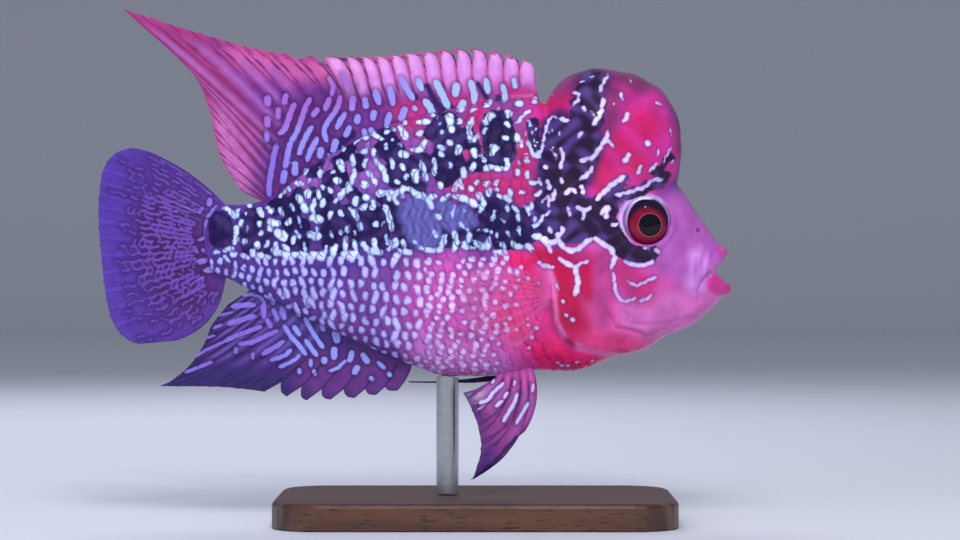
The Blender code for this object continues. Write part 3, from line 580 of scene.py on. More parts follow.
flankSpots = [
    # tail stem and the rear of the dark band
    (1.9, 221, 197, 219, 203, 215, 208), (2.6, 224, 208, 230, 210, 234, 217),
    (2.2, 239, 209, 237, 216), (2.8, 242, 222, 237, 228, 236, 236, 235, 244),
    (2.5, 224, 250.5, 232, 248), (1.9, 213, 253, 219, 252), (1.3, 247, 226, 248, 233),
    (3.2, 260, 211, 263, 216), (2.8, 268, 208, 272, 212), (3.6, 271, 222, 278, 224),
    (2.6, 270, 226, 270, 229), (5.0, 278, 233, 284, 237), (2.4, 280, 208, 283, 216),
    (1.7, 291, 204, 294, 211), (2.6, 290, 220, 287, 224), (1.6, 298, 216, 301, 227),
    (1.7, 296, 231, 300, 238), (2.4, 276, 243, 277, 252), (2.8, 284, 246, 290, 251),
    (3.4, 298, 196, 303, 206, 307, 212), (2.6, 315, 200, 312, 209, 314, 214),
    (3.6, 308, 193, 308, 196), (2.4, 318, 191, 319, 197), (4.0, 313, 218, 320, 220),
    (4.4, 311, 235, 318, 236), (2.2, 317, 228, 318, 231), (1.9, 304, 242, 305, 251),
    (1.7, 331, 232, 332, 237), (1.9, 340, 231, 341, 235), (2.8, 324, 200, 322, 205),
    (2.3, 335, 202, 343, 194, 351, 189), (2.9, 350, 208, 355, 214, 358, 220),
    (3.0, 360, 225, 361, 230), (2.3, 349, 225, 347, 231), (1.5, 354, 231, 356, 235),
    (2.7, 345, 237, 346, 250), (2.7, 354, 241, 356, 250), (3.2, 356, 199, 355, 204),
    (2.8, 362, 208, 366, 206), (2.9, 373, 202, 373, 208), (1.6, 245, 212, 247, 216),
    (4.4, 281, 253, 288, 257, 296, 255), (4.2, 300, 255, 308, 257), (4.4, 313, 255, 322, 256),
    (2.2, 327, 247, 325, 251), (3.2, 336, 246, 333, 254), (4.4, 344, 255, 356, 255),
    (3.2, 363, 244, 366, 248), (3.0, 258, 255, 270, 258), (2.6, 242, 255, 248, 258),
    (2.2, 225, 257, 229, 261), (2.4, 273, 250, 276, 254),
    # the front of the band
    (3.2, 388, 192, 389, 193), (2.6, 387, 200, 393, 197, 397, 203),
    (2.7, 385, 205, 388, 214, 391, 223, 392, 230), (1.4, 384, 222, 382, 226),
    (2.4, 386, 235, 388, 244), (2.7, 396, 238, 396, 246), (3.2, 374, 239, 376, 250),
    (2.3, 389, 250, 392, 246), (2.4, 403, 240, 404, 245), (2.2, 402, 196, 404, 198),
    (2.7, 390, 200, 396, 193, 404, 189, 411, 188), (3.2, 412, 191, 418, 196, 423, 194),
    (2.7, 424, 197, 430, 203, 432, 208), (3.0, 431, 196, 436, 197), (2.8, 442, 200, 449, 195),
    (3.2, 454, 196, 462, 198, 470, 201, 477, 206), (2.8, 478, 194, 484, 202, 480, 212),
    (1.9, 455, 206, 452, 218), (1.6, 463, 210, 466, 211), (2.2, 460, 223, 464, 228),
    (2.3, 435, 232, 436, 236), (3.0, 445, 235, 442, 247), (2.8, 454, 232, 457, 241, 454, 251),
    (2.7, 469, 229, 469, 239, 464, 246), (3.4, 476, 243, 482, 247), (2.4, 463, 247, 474, 248),
    (1.7, 477, 230, 480, 230), (1.9, 486, 231, 491, 232), (3.0, 489, 237, 488, 249),
    (1.6, 497, 233, 497, 236), (1.9, 507, 231, 510, 236), (2.3, 501, 243, 505, 248),
    (2.7, 512, 241, 515, 247, 522, 247), (2.7, 494, 252, 506, 252), (1.9, 495, 211, 492, 221),
    (1.4, 502, 220, 504, 222), (2.5, 498, 196, 506, 198, 512, 202), (1.9, 507, 205, 508, 210),
    (2.0, 512, 205, 518, 212, 518, 220), (1.8, 519, 226, 520, 234),
    (1.8, 524, 206, 528, 209, 529, 216), (1.8, 531, 203, 532, 210), (2.3, 536, 195, 541, 192),
    (1.5, 541, 203, 546, 199), (1.6, 548, 196, 549, 206), (1.7, 535, 217, 535, 222),
    (1.7, 550, 212, 543, 217, 538, 224, 532, 228), (3.0, 533, 236, 541, 237, 547, 240),
    (2.7, 527, 245, 532, 250), (3.4, 371, 251, 380, 253), (3.0, 400, 251, 412, 253),
    (2.7, 420, 248, 432, 251, 442, 250), (2.2, 415, 242, 416, 244),
    # the upper flank
    (3.7, 419, 122, 427, 122), (3.6, 400, 127, 404, 134, 406, 139), (1.7, 393, 128, 394, 130),
    (1.7, 392, 139, 393, 141), (1.9, 400, 144, 401, 146), (2.2, 386, 145, 386, 148),
    (2.8, 376, 136, 382, 139), (2.5, 373, 150, 374, 155), (1.9, 368, 142, 368, 148),
    (2.5, 354, 144, 361, 138, 367, 131), (2.7, 361, 152, 365, 152), (2.7, 352, 155, 354, 166),
    (2.3, 366, 160, 364, 166), (2.5, 368, 172, 370, 175), (3.6, 339, 160, 343, 171),
    (3.2, 335, 180, 338, 181), (2.7, 355, 170, 352, 182, 345, 190, 337, 200),
    (3.4, 364, 183, 365, 185), (2.4, 374, 180, 376, 184), (3.5, 379, 193, 382, 193),
    (3.1, 365, 197, 368, 197), (2.9, 376, 161, 383, 170, 387, 182), (2.8, 392, 160, 393, 168),
    (3.5, 402, 154, 406, 155), (2.9, 412, 150, 421, 150, 425, 141), (2.6, 401, 165, 404, 170),
    (2.8, 397, 182, 399, 183), (3.6, 415, 173, 416, 181), (2.5, 421, 161, 424, 170, 427, 181),
    (2.5, 434, 158, 435, 166, 434, 175), (2.7, 440, 147, 445, 149), (3.2, 459, 147, 458, 153),
    (1.4, 438, 117, 438, 119), (1.1, 440, 123, 440, 125), (2.7, 472, 119, 469, 128, 470, 140),
    (2.3, 470, 142, 476, 140, 478, 134), (2.9, 474, 151, 475, 157), (2.1, 481, 156, 484, 160),
    (2.7, 474, 164, 472, 170), (2.9, 464, 168, 464, 178), (2.8, 460, 180, 454, 190),
    (1.9, 462, 185, 462, 188), (2.9, 440, 184, 441, 187), (2.0, 450, 163, 451, 168),
    (2.5, 504, 138, 507, 138), (2.8, 491, 146, 497, 148, 491, 154), (3.1, 507, 160, 508, 164),
    (2.8, 484, 170, 490, 167, 500, 169, 508, 168), (2.4, 518, 171, 517, 175),
    (2.2, 528, 172, 527, 176), (2.5, 478, 181, 477, 184), (2.4, 486, 184, 489, 183),
    (2.0, 498, 180, 496, 184), (2.7, 517, 134, 517, 142), (1.6, 522, 141, 521, 147),
    (1.8, 516, 124, 522, 117, 530, 110), (1.2, 525, 131, 525, 135), (1.8, 529, 121, 530, 125),
    (1.2, 536, 128, 536, 130), (1.0, 532, 132, 532, 134), (1.0, 534, 139, 534, 141),
    (1.5, 528, 141, 531, 152, 536, 158, 539, 152), (1.2, 519, 160, 520, 165),
    (2.3, 531, 183, 536, 183), (1.5, 539, 178, 541, 185), (2.7, 490, 190, 488, 194),
    (1.9, 496, 190, 498, 190), (1.9, 520, 193, 526, 192), (2.4, 510, 190, 511, 195),
    (2.6, 320, 168, 320, 177), (2.7, 297, 183, 303, 184), (2.6, 310, 181, 310, 182),
    (2.2, 329, 188, 331, 192), (2.3, 322, 186, 323, 189), (2.3, 288, 186, 290, 190),
]
dorsalSpots = [
    # pale streaks of the long fin; those at its root run on over the back
    (3.1, 269.5, 195, 269, 186, 270.5, 176, 272.5, 165, 274, 155, 277, 145),
    (3.2, 279.5, 134, 285, 129, 288, 121, 290.5, 113, 294.5, 104), (3.0, 267, 134, 267, 140),
    (3.6, 267.5, 119, 267.5, 125), (4.0, 267.5, 99, 268, 104), (3.1, 278.5, 110, 278, 117),
    (3.2, 286, 96, 284.5, 102), (3.6, 283, 181, 284.5, 173),
    (3.2, 285, 167, 286.5, 160, 288.5, 150, 291, 142),
    (3.0, 291, 142, 296, 134, 299.5, 125, 303, 115, 305.5, 107, 310, 99),
    (2.6, 281.5, 196, 285, 190), (3.0, 299, 154, 301, 148, 304.5, 140, 308, 133, 312, 127),
    (3.1, 307.5, 160, 309.5, 154, 312.5, 147, 317, 139), (3.5, 295.5, 164, 295, 173),
    (2.7, 306.5, 170, 306, 174), (3.4, 321, 150, 320, 156), (1.8, 329, 155, 329, 157),
    (3.5, 325.5, 109, 329.5, 99), (3.1, 313.5, 115, 317, 110),
    (2.9, 326.5, 141, 324, 132, 325.5, 126, 329, 120, 335, 112, 339, 104, 340, 97),
    (3.1, 337, 128, 340.5, 121, 345, 114), (3.1, 346, 135, 349.5, 128),
    (3.6, 335.5, 142, 333.5, 150), (2.1, 343.7, 148, 343.7, 151),
    (2.6, 329, 78, 333.5, 86, 332, 95), (2.6, 342, 74, 346, 82, 348, 91), (3.5, 353, 99, 352, 108),
    (3.4, 365, 100, 366, 106), (3.3, 358, 117, 357, 121), (3.3, 374, 113, 373, 118),
    (3.7, 375, 91, 379, 103), (3.2, 371, 130, 373, 134), (2.9, 364, 131, 366, 138),
    (3.6, 390, 88, 393, 104), (3.4, 389.5, 114, 386.5, 127), (3.5, 401, 78, 408, 91, 413, 99),
    (3.8, 404.5, 110, 401.5, 118), (2.7, 414.5, 108, 415.5, 109), (3.5, 418, 80, 421.5, 89),
    (3.9, 425, 101, 430, 107, 433, 115), (3.8, 436, 82, 442, 94, 448, 107),
    (3.9, 456.5, 86, 455.5, 94), (4.0, 463, 103, 460, 110), (4.0, 449.5, 117, 450.5, 124),
    (3.6, 471, 82, 474.5, 95, 474, 102), (2.8, 473, 118, 468, 130), (3.3, 486, 80, 488, 92),
    (3.0, 491, 101.5, 485, 108), (3.8, 491, 115, 486, 122), (3.0, 503, 86, 505, 95, 504.5, 103),
    (2.9, 505, 112, 510, 113, 508, 118), (3.3, 507, 124, 508, 126), (2.6, 514, 80, 515, 86),
    (3.7, 519, 102, 518.5, 104), (2.4, 535.5, 99, 534, 102),
]
analSpots = [
    # pale streaks of the fin behind the belly; those at its root run on up the flank
    (3.0, 233, 306.5, 245, 305, 254, 305), (1.5, 220, 315.5, 226, 313.5, 232, 312.5),
    (3.0, 229, 323.5, 240, 320.5, 250, 317, 255, 316.5), (1.6, 214, 328, 222, 324.5),
    (1.3, 206, 338, 211, 336.5, 215, 335.5), (1.7, 196, 356.5, 205, 350.5, 215, 346, 225, 341),
    (2.5, 225, 341, 235, 336.5, 245, 332.5, 255, 329, 261, 327),
    (2.6, 240, 344, 252, 342.5, 262, 338, 270, 334, 277, 331),
    (2.8, 263, 354, 271, 349.5, 278, 345.5, 283, 341.5),
    (2.4, 271, 360, 280, 357.5, 286, 355, 290.5, 350),
    (2.2, 280, 367, 288, 363.5, 295, 360, 299.5, 355.5), (3.1, 264, 303, 263.5, 310, 264, 317),
    (1.9, 243, 295, 252, 294.5, 261, 297.5, 264, 302), (2.6, 267.5, 320.5, 270.5, 326.5),
    (2.9, 269.5, 294, 272, 299, 274, 304), (2.6, 273.5, 310, 275.5, 315, 277.5, 320),
    (3.1, 279, 289, 281, 294, 283.5, 299), (3.3, 281.5, 308, 283, 313, 284.5, 318),
    (2.5, 284, 325.5, 288, 332, 292, 338, 297, 343, 301, 348, 305.5, 354),
    (2.8, 294, 326.5, 297, 331, 299.5, 334.5), (3.3, 295, 303.5, 297, 309, 299.5, 315),
    (2.6, 305.5, 340, 309.5, 345.5, 313, 350.5, 317, 355.5),
    (2.5, 305.5, 318.5, 309, 326, 313, 333, 318, 340.5, 323, 347.5), (3.7, 306, 297, 307.5, 306),
    (3.1, 322.5, 318, 322, 325, 323.5, 330), (2.2, 310.5, 360, 311, 366),
    (3.6, 324.5, 360, 324.5, 361), (3.5, 334.3, 350, 334, 357), (2.1, 299.5, 370, 299.5, 372),
    (2.1, 314, 371, 315, 374), (1.9, 330, 371, 338, 368, 345, 361), (4.2, 336, 334, 337, 340),
    (3.0, 352, 353, 350, 360), (3.2, 363, 355, 367, 361), (3.4, 357, 368, 355, 372),
    (2.3, 371, 378, 372, 379), (2.4, 389, 374, 390, 375), (2.4, 404, 360, 405, 361),
    (2.4, 378, 362, 384, 368), (2.3, 236, 349, 236, 352), (2.2, 253, 354, 253, 358),
    (2.0, 186, 372, 200, 367, 212, 362),
]
pearls = {
    "rear": 0.65, "front": 0.56, "breast": 0.38, "upper": 0.56,     # half width of one
    "headThin": 0.8, "flankThin": 0.92,    # drawn width of the marks, as a share
    "shift": 1.05,              # how far the far side's marks stray from the near side's
    "upperEdge": (266, 252), "redZone": (470, 500),     # between these pixels the kinds of
    "frontZone": (408, 448), "breastZone": (496, 530),  # pearl change into each other
    "tailSpot": (221, 230), "tailSpotRadius": 13,
}
scales = {
    "pitch": 2.15, "rowPitch": 2.4,     # one pearl to a scale, 11 by 12 pixels apart
    "tailSize": 0.74,           # size of those at the tail, as a share of the largest
    "reach": 1.28, "root": -2.3,        # rear and front ends of a plate, from its pearl
    "halfHeight": 1.85, "rows": (-14, 16), "firstX": 38.0, "lastX": -39.5, "frontX": 22.6,
    "rearLift": 0.14, "rootSink": -0.16, "crown": 0.06, "thickness": 0.14,
}


def skinTree(skin):
    tree = bmesh.new()
    tree.from_mesh(skin.data)
    found = BVHTree.FromBMesh(tree)
    tree.free()
    return found


def arcTables(x):
    # heights down one flank at x, and how far each lies from the widest line
    turn = np.sin(np.linspace(-math.pi / 2, math.pi / 2, 61))
    top, low = topLine(x), bottomLine(x)
    widest = low + body["widestAt"] * (top - low)
    z = widest + turn * np.where(turn > 0, top - widest, widest - low)
    y = bodyHalf(np.full(61, x), z)
    arc = np.concatenate([[0], np.cumsum(np.hypot(np.diff(y), np.diff(z)))])
    return z, arc - np.interp(widest, z, arc)


def layScales(tree, side):
    # a place, the ways back and up, and the size for every scale of one flank
    places = []
    cover = fromPhoto(folds["gillCover"])
    for row in range(*scales["rows"]):
        x = scales["firstX"] + (scales["pitch"] / 2 if row % 2 else 0)
        while x > scales["lastX"]:
            size = 1 - (1 - scales["tailSize"]) * fade(x, 0, -38)
            size *= 1 - 0.3 * fade(x, 22, 36)
            x -= scales["pitch"] * size
            z, arc = arcTables(x)
            away = row * scales["rowPitch"] * size
            if not arc[0] + 0.9 < away < arc[-1] - 0.9:
                continue
            level = np.interp(away, arc, z)
            half = bodyHalf(np.array([x]), np.array([level]))[0]
            seen = seenAt(np.array([x]), half, np.array([level]))
            behind = lineDistance(*seen, cover)[1][0]
            front = scales["frontX"] + 1.1 * math.sin(level * 0.9)
            # head and nape have none, and those of the breast end at the gills' cover
            if x > front and (behind > -2.2 or level > 50) or x > 20.5 and level > 72:
                continue
            spot, normal, _, _ = tree.find_nearest(Vector((x, side * half, level)) * mm)
            back = Vector((-1, 0, 0))
            back = (back - normal * back.dot(normal)).normalized()
            up = normal.cross(back) * (-side)
            if up.z < 0:
                up = -up
            places.append((np.array(spot) / mm, np.array(back), np.array(up), float(size)))
    return places


def lineSamples(line, radius, lumpy=0.2):
    # points close together along a line of the side view, each with its half width,
    # which swells and shrinks as pigment does and is slimmer at both ends
    samples = []
    phase = chance.uniform(0, 6.3)
    whole = sum(math.dist(a, b) for a, b in zip(line[:-1], line[1:]))
    run = 0.0
    for (ax, az), (bx, bz) in zip(line[:-1], line[1:]):
        length = math.hypot(bx - ax, bz - az)
        count = max(2, int(length / 0.18) + 1)
        for t in np.linspace(0, 1, count):
            lump = math.sin(phase + (run + length * t) * 3.1) + 0.6 * math.sin(
                2 * phase + (run + length * t) * 6.7)
            off = 0.45 * lumpy * math.sin(3 * phase + (run + length * t) * 4.3)
            left = min(run + length * t, whole - run - length * t)
            slim = 1 if whole < 3 * radius else min(1.0, 0.7 + 0.3 * left / radius)
            samples.append(((ax + (bx - ax) * t + off, 0.0, az + (bz - az) * t - off),
                            radius * slim * (1 + lumpy * lump)))
        run += length
    return samples


def sampleTree(samples):
    tree = KDTree(len(samples))
    for i, (spot, _) in enumerate(samples):
        tree.insert(Vector(spot), i)
    tree.balance()
    return tree


def markDistance(points, samples):
    # how far each point lies outside the nearest mark, below 0 inside it
    tree = sampleTree(samples)
    radii = [radius for _, radius in samples]
    return [min(found[2] - radii[found[1]] for found in tree.find_n(Vector(spot), 4))
            for spot in points]


def flankMarks(tree, places, side):
    # sample points of every pale mark on one flank, each with the mark's half width
    samples = []
    cameraX, cameraY, cameraZ = photo["camera"]
    start = Vector((cameraX, side * -cameraY, cameraZ))
    strokes = [(radius * pearls["headThin"], ends) for radius, *ends in headSpots]
    strokes += [(radius * pearls["flankThin"], ends)
                for radius, *ends in flankSpots + dorsalSpots + analSpots]
    for radius, ends in strokes:
        line = strokeLine(ends)
        if side > 0:            # no fish is quite the same on both sides
            line = line + pearls["shift"] * np.sin(line[:, ::-1] * 0.55 + 0.8)
        for (x, _, z), half in lineSamples(line, radius * photo["mmPerPixel"]):
            hit = tree.ray_cast(start * mm, (Vector((x, 0, z)) - start).normalized())[0]
            if hit is not None:
                samples.append((np.array(hit) / mm, half))
    drawn = sampleTree(samples)

    def addPearl(spot, back, up, radius, length, lean):
        # a lumpy bead: a short bent line with its own swelling
        along = up * math.cos(lean) + back * math.sin(lean)
        across = back * math.cos(lean) - up * math.sin(lean)
        bend, swell = chance.normal(0, 0.16), chance.uniform(-0.18, 0.18)
        for t in np.linspace(-1, 1, max(3, int(length * 2 / 0.2))):
            samples.append((spot + along * length * t + across * bend * (t * t - 0.5),
                            radius * (1 + swell * t - 0.12 * t * t)))

    spots = np.array([place[0] for place in places])
    misty = areaDistance(spots[:, 0], spots[:, 2], greys) < -0.2
    spotX, spotY = pearls["tailSpot"]
    for (spot, back, up, size), bare in zip(places, misty):
        px, py = toPhoto(spot[0], spot[2])
        if bare or math.hypot(px - spotX, (py - spotY) * 0.65) < pearls["tailSpotRadius"]:
            continue            # misty patches and the tail's dark spot have no pearls
        upper = float(fade(py, *pearls["upperEdge"]))
        front = float(fade(px, *pearls["frontZone"]))
        breast = float(fade(px + 0.25 * (py - 300), *pearls["breastZone"]))
        near = drawn.find(Vector(spot))[2]
        if upper > 0.5:
            sparse = 0.12 + 0.55 * float(fade(px, *pearls["redZone"]))
            if near < 1.35 or chance.random() < sparse:
                continue
            jitter = back * chance.normal(0, 0.3) + up * chance.normal(0, 0.3)
            smaller = 1 - 0.25 * float(fade(px, 455, 490))
            addPearl(spot + jitter, back, up,
                     pearls["upper"] * smaller * chance.uniform(0.7, 1.15),
                     chance.uniform(0.15, 0.6), chance.normal(0, 0.7))
        elif front < 0.5:
            if near < 0.9 or chance.random() < 0.04:
                continue
            length = chance.uniform(0.3, 0.62) * size
            lean = chance.normal(0.0, 0.25)
            if chance.random() < 0.2:                   # runs on into the next row
                length, lean = 1.1 * size, chance.choice([-0.4, 0.4])
            jitter = (back * chance.normal(0, 0.13) + up * chance.normal(0, 0.16)) * size
            radius = pearls["rear"] * size * chance.uniform(0.84, 1.12)
            addPearl(spot + jitter, back, up, radius, length, lean)
        else:
            for step in (-0.5, 0.5):
                if near < 0.7 or chance.random() < 0.1 + 0.72 * breast:
                    continue
                jitter = (back * (chance.normal(0, 0.2) - 0.5 * step)
                          + up * (chance.normal(0, 0.16) + 1.3 * step)) * size
                radius = pearls["front"] + (pearls["breast"] - pearls["front"]) * breast
                addPearl(spot + jitter, back, up, radius * chance.uniform(0.75, 1.15),
                         chance.uniform(0.05, 0.4) * (1 - 0.5 * breast), chance.normal(0, 0.9))
    return samples


def layered(x, z, base, layers):
    # a ground colour with softly ending strokes of others laid over it in turn
    colour = np.tile(np.array(hexColour(base)[:3]), (len(x), 1))
    wobble = 1.1 * np.sin(x * 0.9 + 1.7 * np.sin(z * 0.6)) + 0.8 * np.sin(z * 1.3 + x * 0.7)
    for code, soft, strokes in layers:
        edge = soft * photo["mmPerPixel"]
        weight = fade(areaDistance(x, z, strokes) + 0.08 * wobble * edge, edge, -edge * 0.4)
        colour = blended(colour, code, weight)
    return colour


def paintSkin(piece, samples):
    # ground colour, pale marks and dark areas at every point of the skin or its scales
    mesh = piece.data
    points = pointsOf(mesh)
    x, y, z = points.T
    mouthX, _, mouthZ = body["mouthCentre"]
    reachX, reachY, reachZ = body["mouthRadii"]
    inside = fade(np.hypot((x - mouthX) / reachX, np.hypot(y / reachY, (z - mouthZ) / reachZ)),
                  1.25, 1.08) * fade(x, 61.0, 59.6)
    ring = np.hypot(x - eye["centre"][0], z - eye["centre"][2])
    x, z = seenAt(x, y, z)
    px, py = toPhoto(x, z)
    # the pale rim of the orbit, only above and behind the eye, is a painted highlight
    orbitHighlight = np.exp(-((ring - 4.9) / 0.4) ** 2) * fade(x - z, -11.0, -15.0)
    onHead, onHump = fade(px, 535, 560), fade(px, 532, 545) * fade(py, 205, 185)
    upper, head = fade(py, 266, 246), fade(px, 532, 548)
    belly = fade(px, 385, 455) * (1 - upper)
    pale = np.clip(0.2 + np.sin(x * 0.83 + 2.3 * np.sin(z * 0.61 + 1)) * np.sin(
        z * 0.97 + 2.1 * np.sin(x * 0.53)), 0, 1) * (0.34 + 0.3 * onHead)
    grey = fade(areaDistance(x, z, greys) + 0.3 * np.sin(x * 1.9) * np.sin(z * 2.3), 0.9, -0.5)
    grey *= 0.62 + 0.3 * np.sin(x * 4.4 + 1.6 * np.sin(z * 1.3)) * np.sin(z * 0.9 + 0.6)
    blue = np.clip(0.5 + 0.5 * np.sin(x * 1.1 + 2 * np.sin(z * 0.7)) * np.sin(
        z * 1.3 + 1.7 * np.sin(x * 0.5)), 0, 1) * 0.6
    blue *= upper * (1 - head) + 0.3 * fade(px, 380, 300)

    for layer, colour, over in (
            ("ground", layered(x, z, skinColours["base"], grounds),
             (("mouth", inside), ("orbitHighlight", orbitHighlight))),
            ("shade", layered(x, z, skinColours["black"], []),
             (("blackHead", onHead), ("blackPale", pale), ("grey", grey))),
            ("tint", layered(x, z, skinColours["markRear"], []),
             (("markBelly", belly), ("markUpper", upper), ("markHead", head),
              ("markBlue", blue)))):
        for name, weight in over:
            colour = blended(colour, skinColours[name], weight)
        storeColours(mesh, layer, colour)
    dark = (areaDistance(x, z, blacks + greys) - 0.35) * (1 - 0.5 * onHump)
    storeNumbers(mesh, "mark", markDistance(points, samples))
    storeNumbers(mesh, "dark", np.maximum(dark, (4.98 - ring) * 2))


def buildScales(places, name, nearest):
    # every scale of one flank as a closed, slightly crowned plate, joined in one mesh
    plate = bmesh.new()
    bmesh.ops.create_grid(plate, x_segments=7, y_segments=9, size=0.5)
    rim = [e for e in plate.edges if e.is_boundary]
    walls = bmesh.ops.extrude_edge_only(plate, edges=rim)["geom"]
    for v in walls:
        if isinstance(v, bmesh.types.BMVert):
            v.co.z = -1
    bmesh.ops.holes_fill(plate, edges=[e for e in plate.edges if e.is_boundary])
    bmesh.ops.recalc_face_normals(plate, faces=plate.faces)
    plate.verts.index_update()
    shape = np.array([v.co for v in plate.verts])
    faces = [[v.index for v in face.verts] for face in plate.faces]
    plate.free()
    a, b, level = (shape[:, 0] + 0.5) ** 0.8, shape[:, 1] * 2, shape[:, 2]
    rear = -0.35 + (scales["reach"] + 0.35) * np.sqrt(1 - np.clip(np.abs(b), 0, 1) ** 2.3)
    u = scales["root"] + (rear - scales["root"]) * a
    v = b * scales["halfHeight"] * (0.86 + 0.14 * a)
    lift = scales["rootSink"] + (scales["rearLift"] - scales["rootSink"]) * (
        (u - scales["root"]) / (scales["reach"] - scales["root"])) ** 0.8
    lift = lift - scales["crown"] * b * b + level * scales["thickness"]
    allPoints, allFaces, allMaps = [], [], []
    for number, (spot, back, up, size) in enumerate(places):
        wide = spot + (np.outer(u, back) + np.outer(v, up)) * size
        base = number * len(shape)
        for i, place in enumerate(wide):
            on, out, _, _ = nearest.find_nearest(Vector(place) * mm)
            allPoints.append(np.array(on) / mm + np.array(out) * lift[i])
        allFaces += [[base + k for k in face] for face in faces]
        rise = np.interp(spot[2], *arcTables(spot[0]))
        allMaps.append(np.stack([(spot[0] + 42) / 84 - u * size * 0.0072,
                                 0.5 + rise / 74 + v * size * 0.0066], axis=-1))
    mesh = bpy.data.meshes.new(name)
    mesh.from_pydata((np.array(allPoints) * mm).tolist(), [], allFaces)
    mesh.shade_smooth()
    storeNumbers(mesh, "rim", np.tile(a, len(places)))
    spread = np.concatenate(allMaps)
    layer = mesh.uv_layers.new(name="OFBake")
    corner = np.empty(len(mesh.loops), np.int32)
    mesh.loops.foreach_get("vertex_index", corner)
    layer.data.foreach_set("uv", spread[corner].astype(np.float32).ravel())
    piece = bpy.data.objects.new(name, mesh)
    bpy.context.collection.objects.link(piece)
    return piece


nearest = skinTree(skin)
flanks = {}
samples = []
for side, word in ((-1, "Right"), (1, "Left")):
    places = layScales(nearest, side)
    samples += flankMarks(nearest, places, side)
    flanks[word] = buildScales(places, "scales" + word, nearest)
    print("scales on one flank:", len(places), "with", triangles(flanks[word]), "triangles")
for piece in (skin, flanks["Right"], flanks["Left"]):
    paintSkin(piece, samples)
print("skin and scales painted")

# what paintSkin and buildFin store at every point, and the socket that gives it
paintedLayers = (("ground", "Color"), ("shade", "Color"), ("tint", "Color"), ("mark", "Fac"),
                 ("dark", "Fac"))
skinSettings = {
    "roughness": 0.42, "scaleRoughness": 0.45, "specular": 0.22,
    "coat": 0.3, "coatRoughness": 0.09,
    "markSoft": 0.15, "darkSoft": 0.2,      # how softly marks and dark areas end, in mm
    "edgeWaver": 0.6, "darkWaver": 1.7,     # how far their edges waver, in mm
}


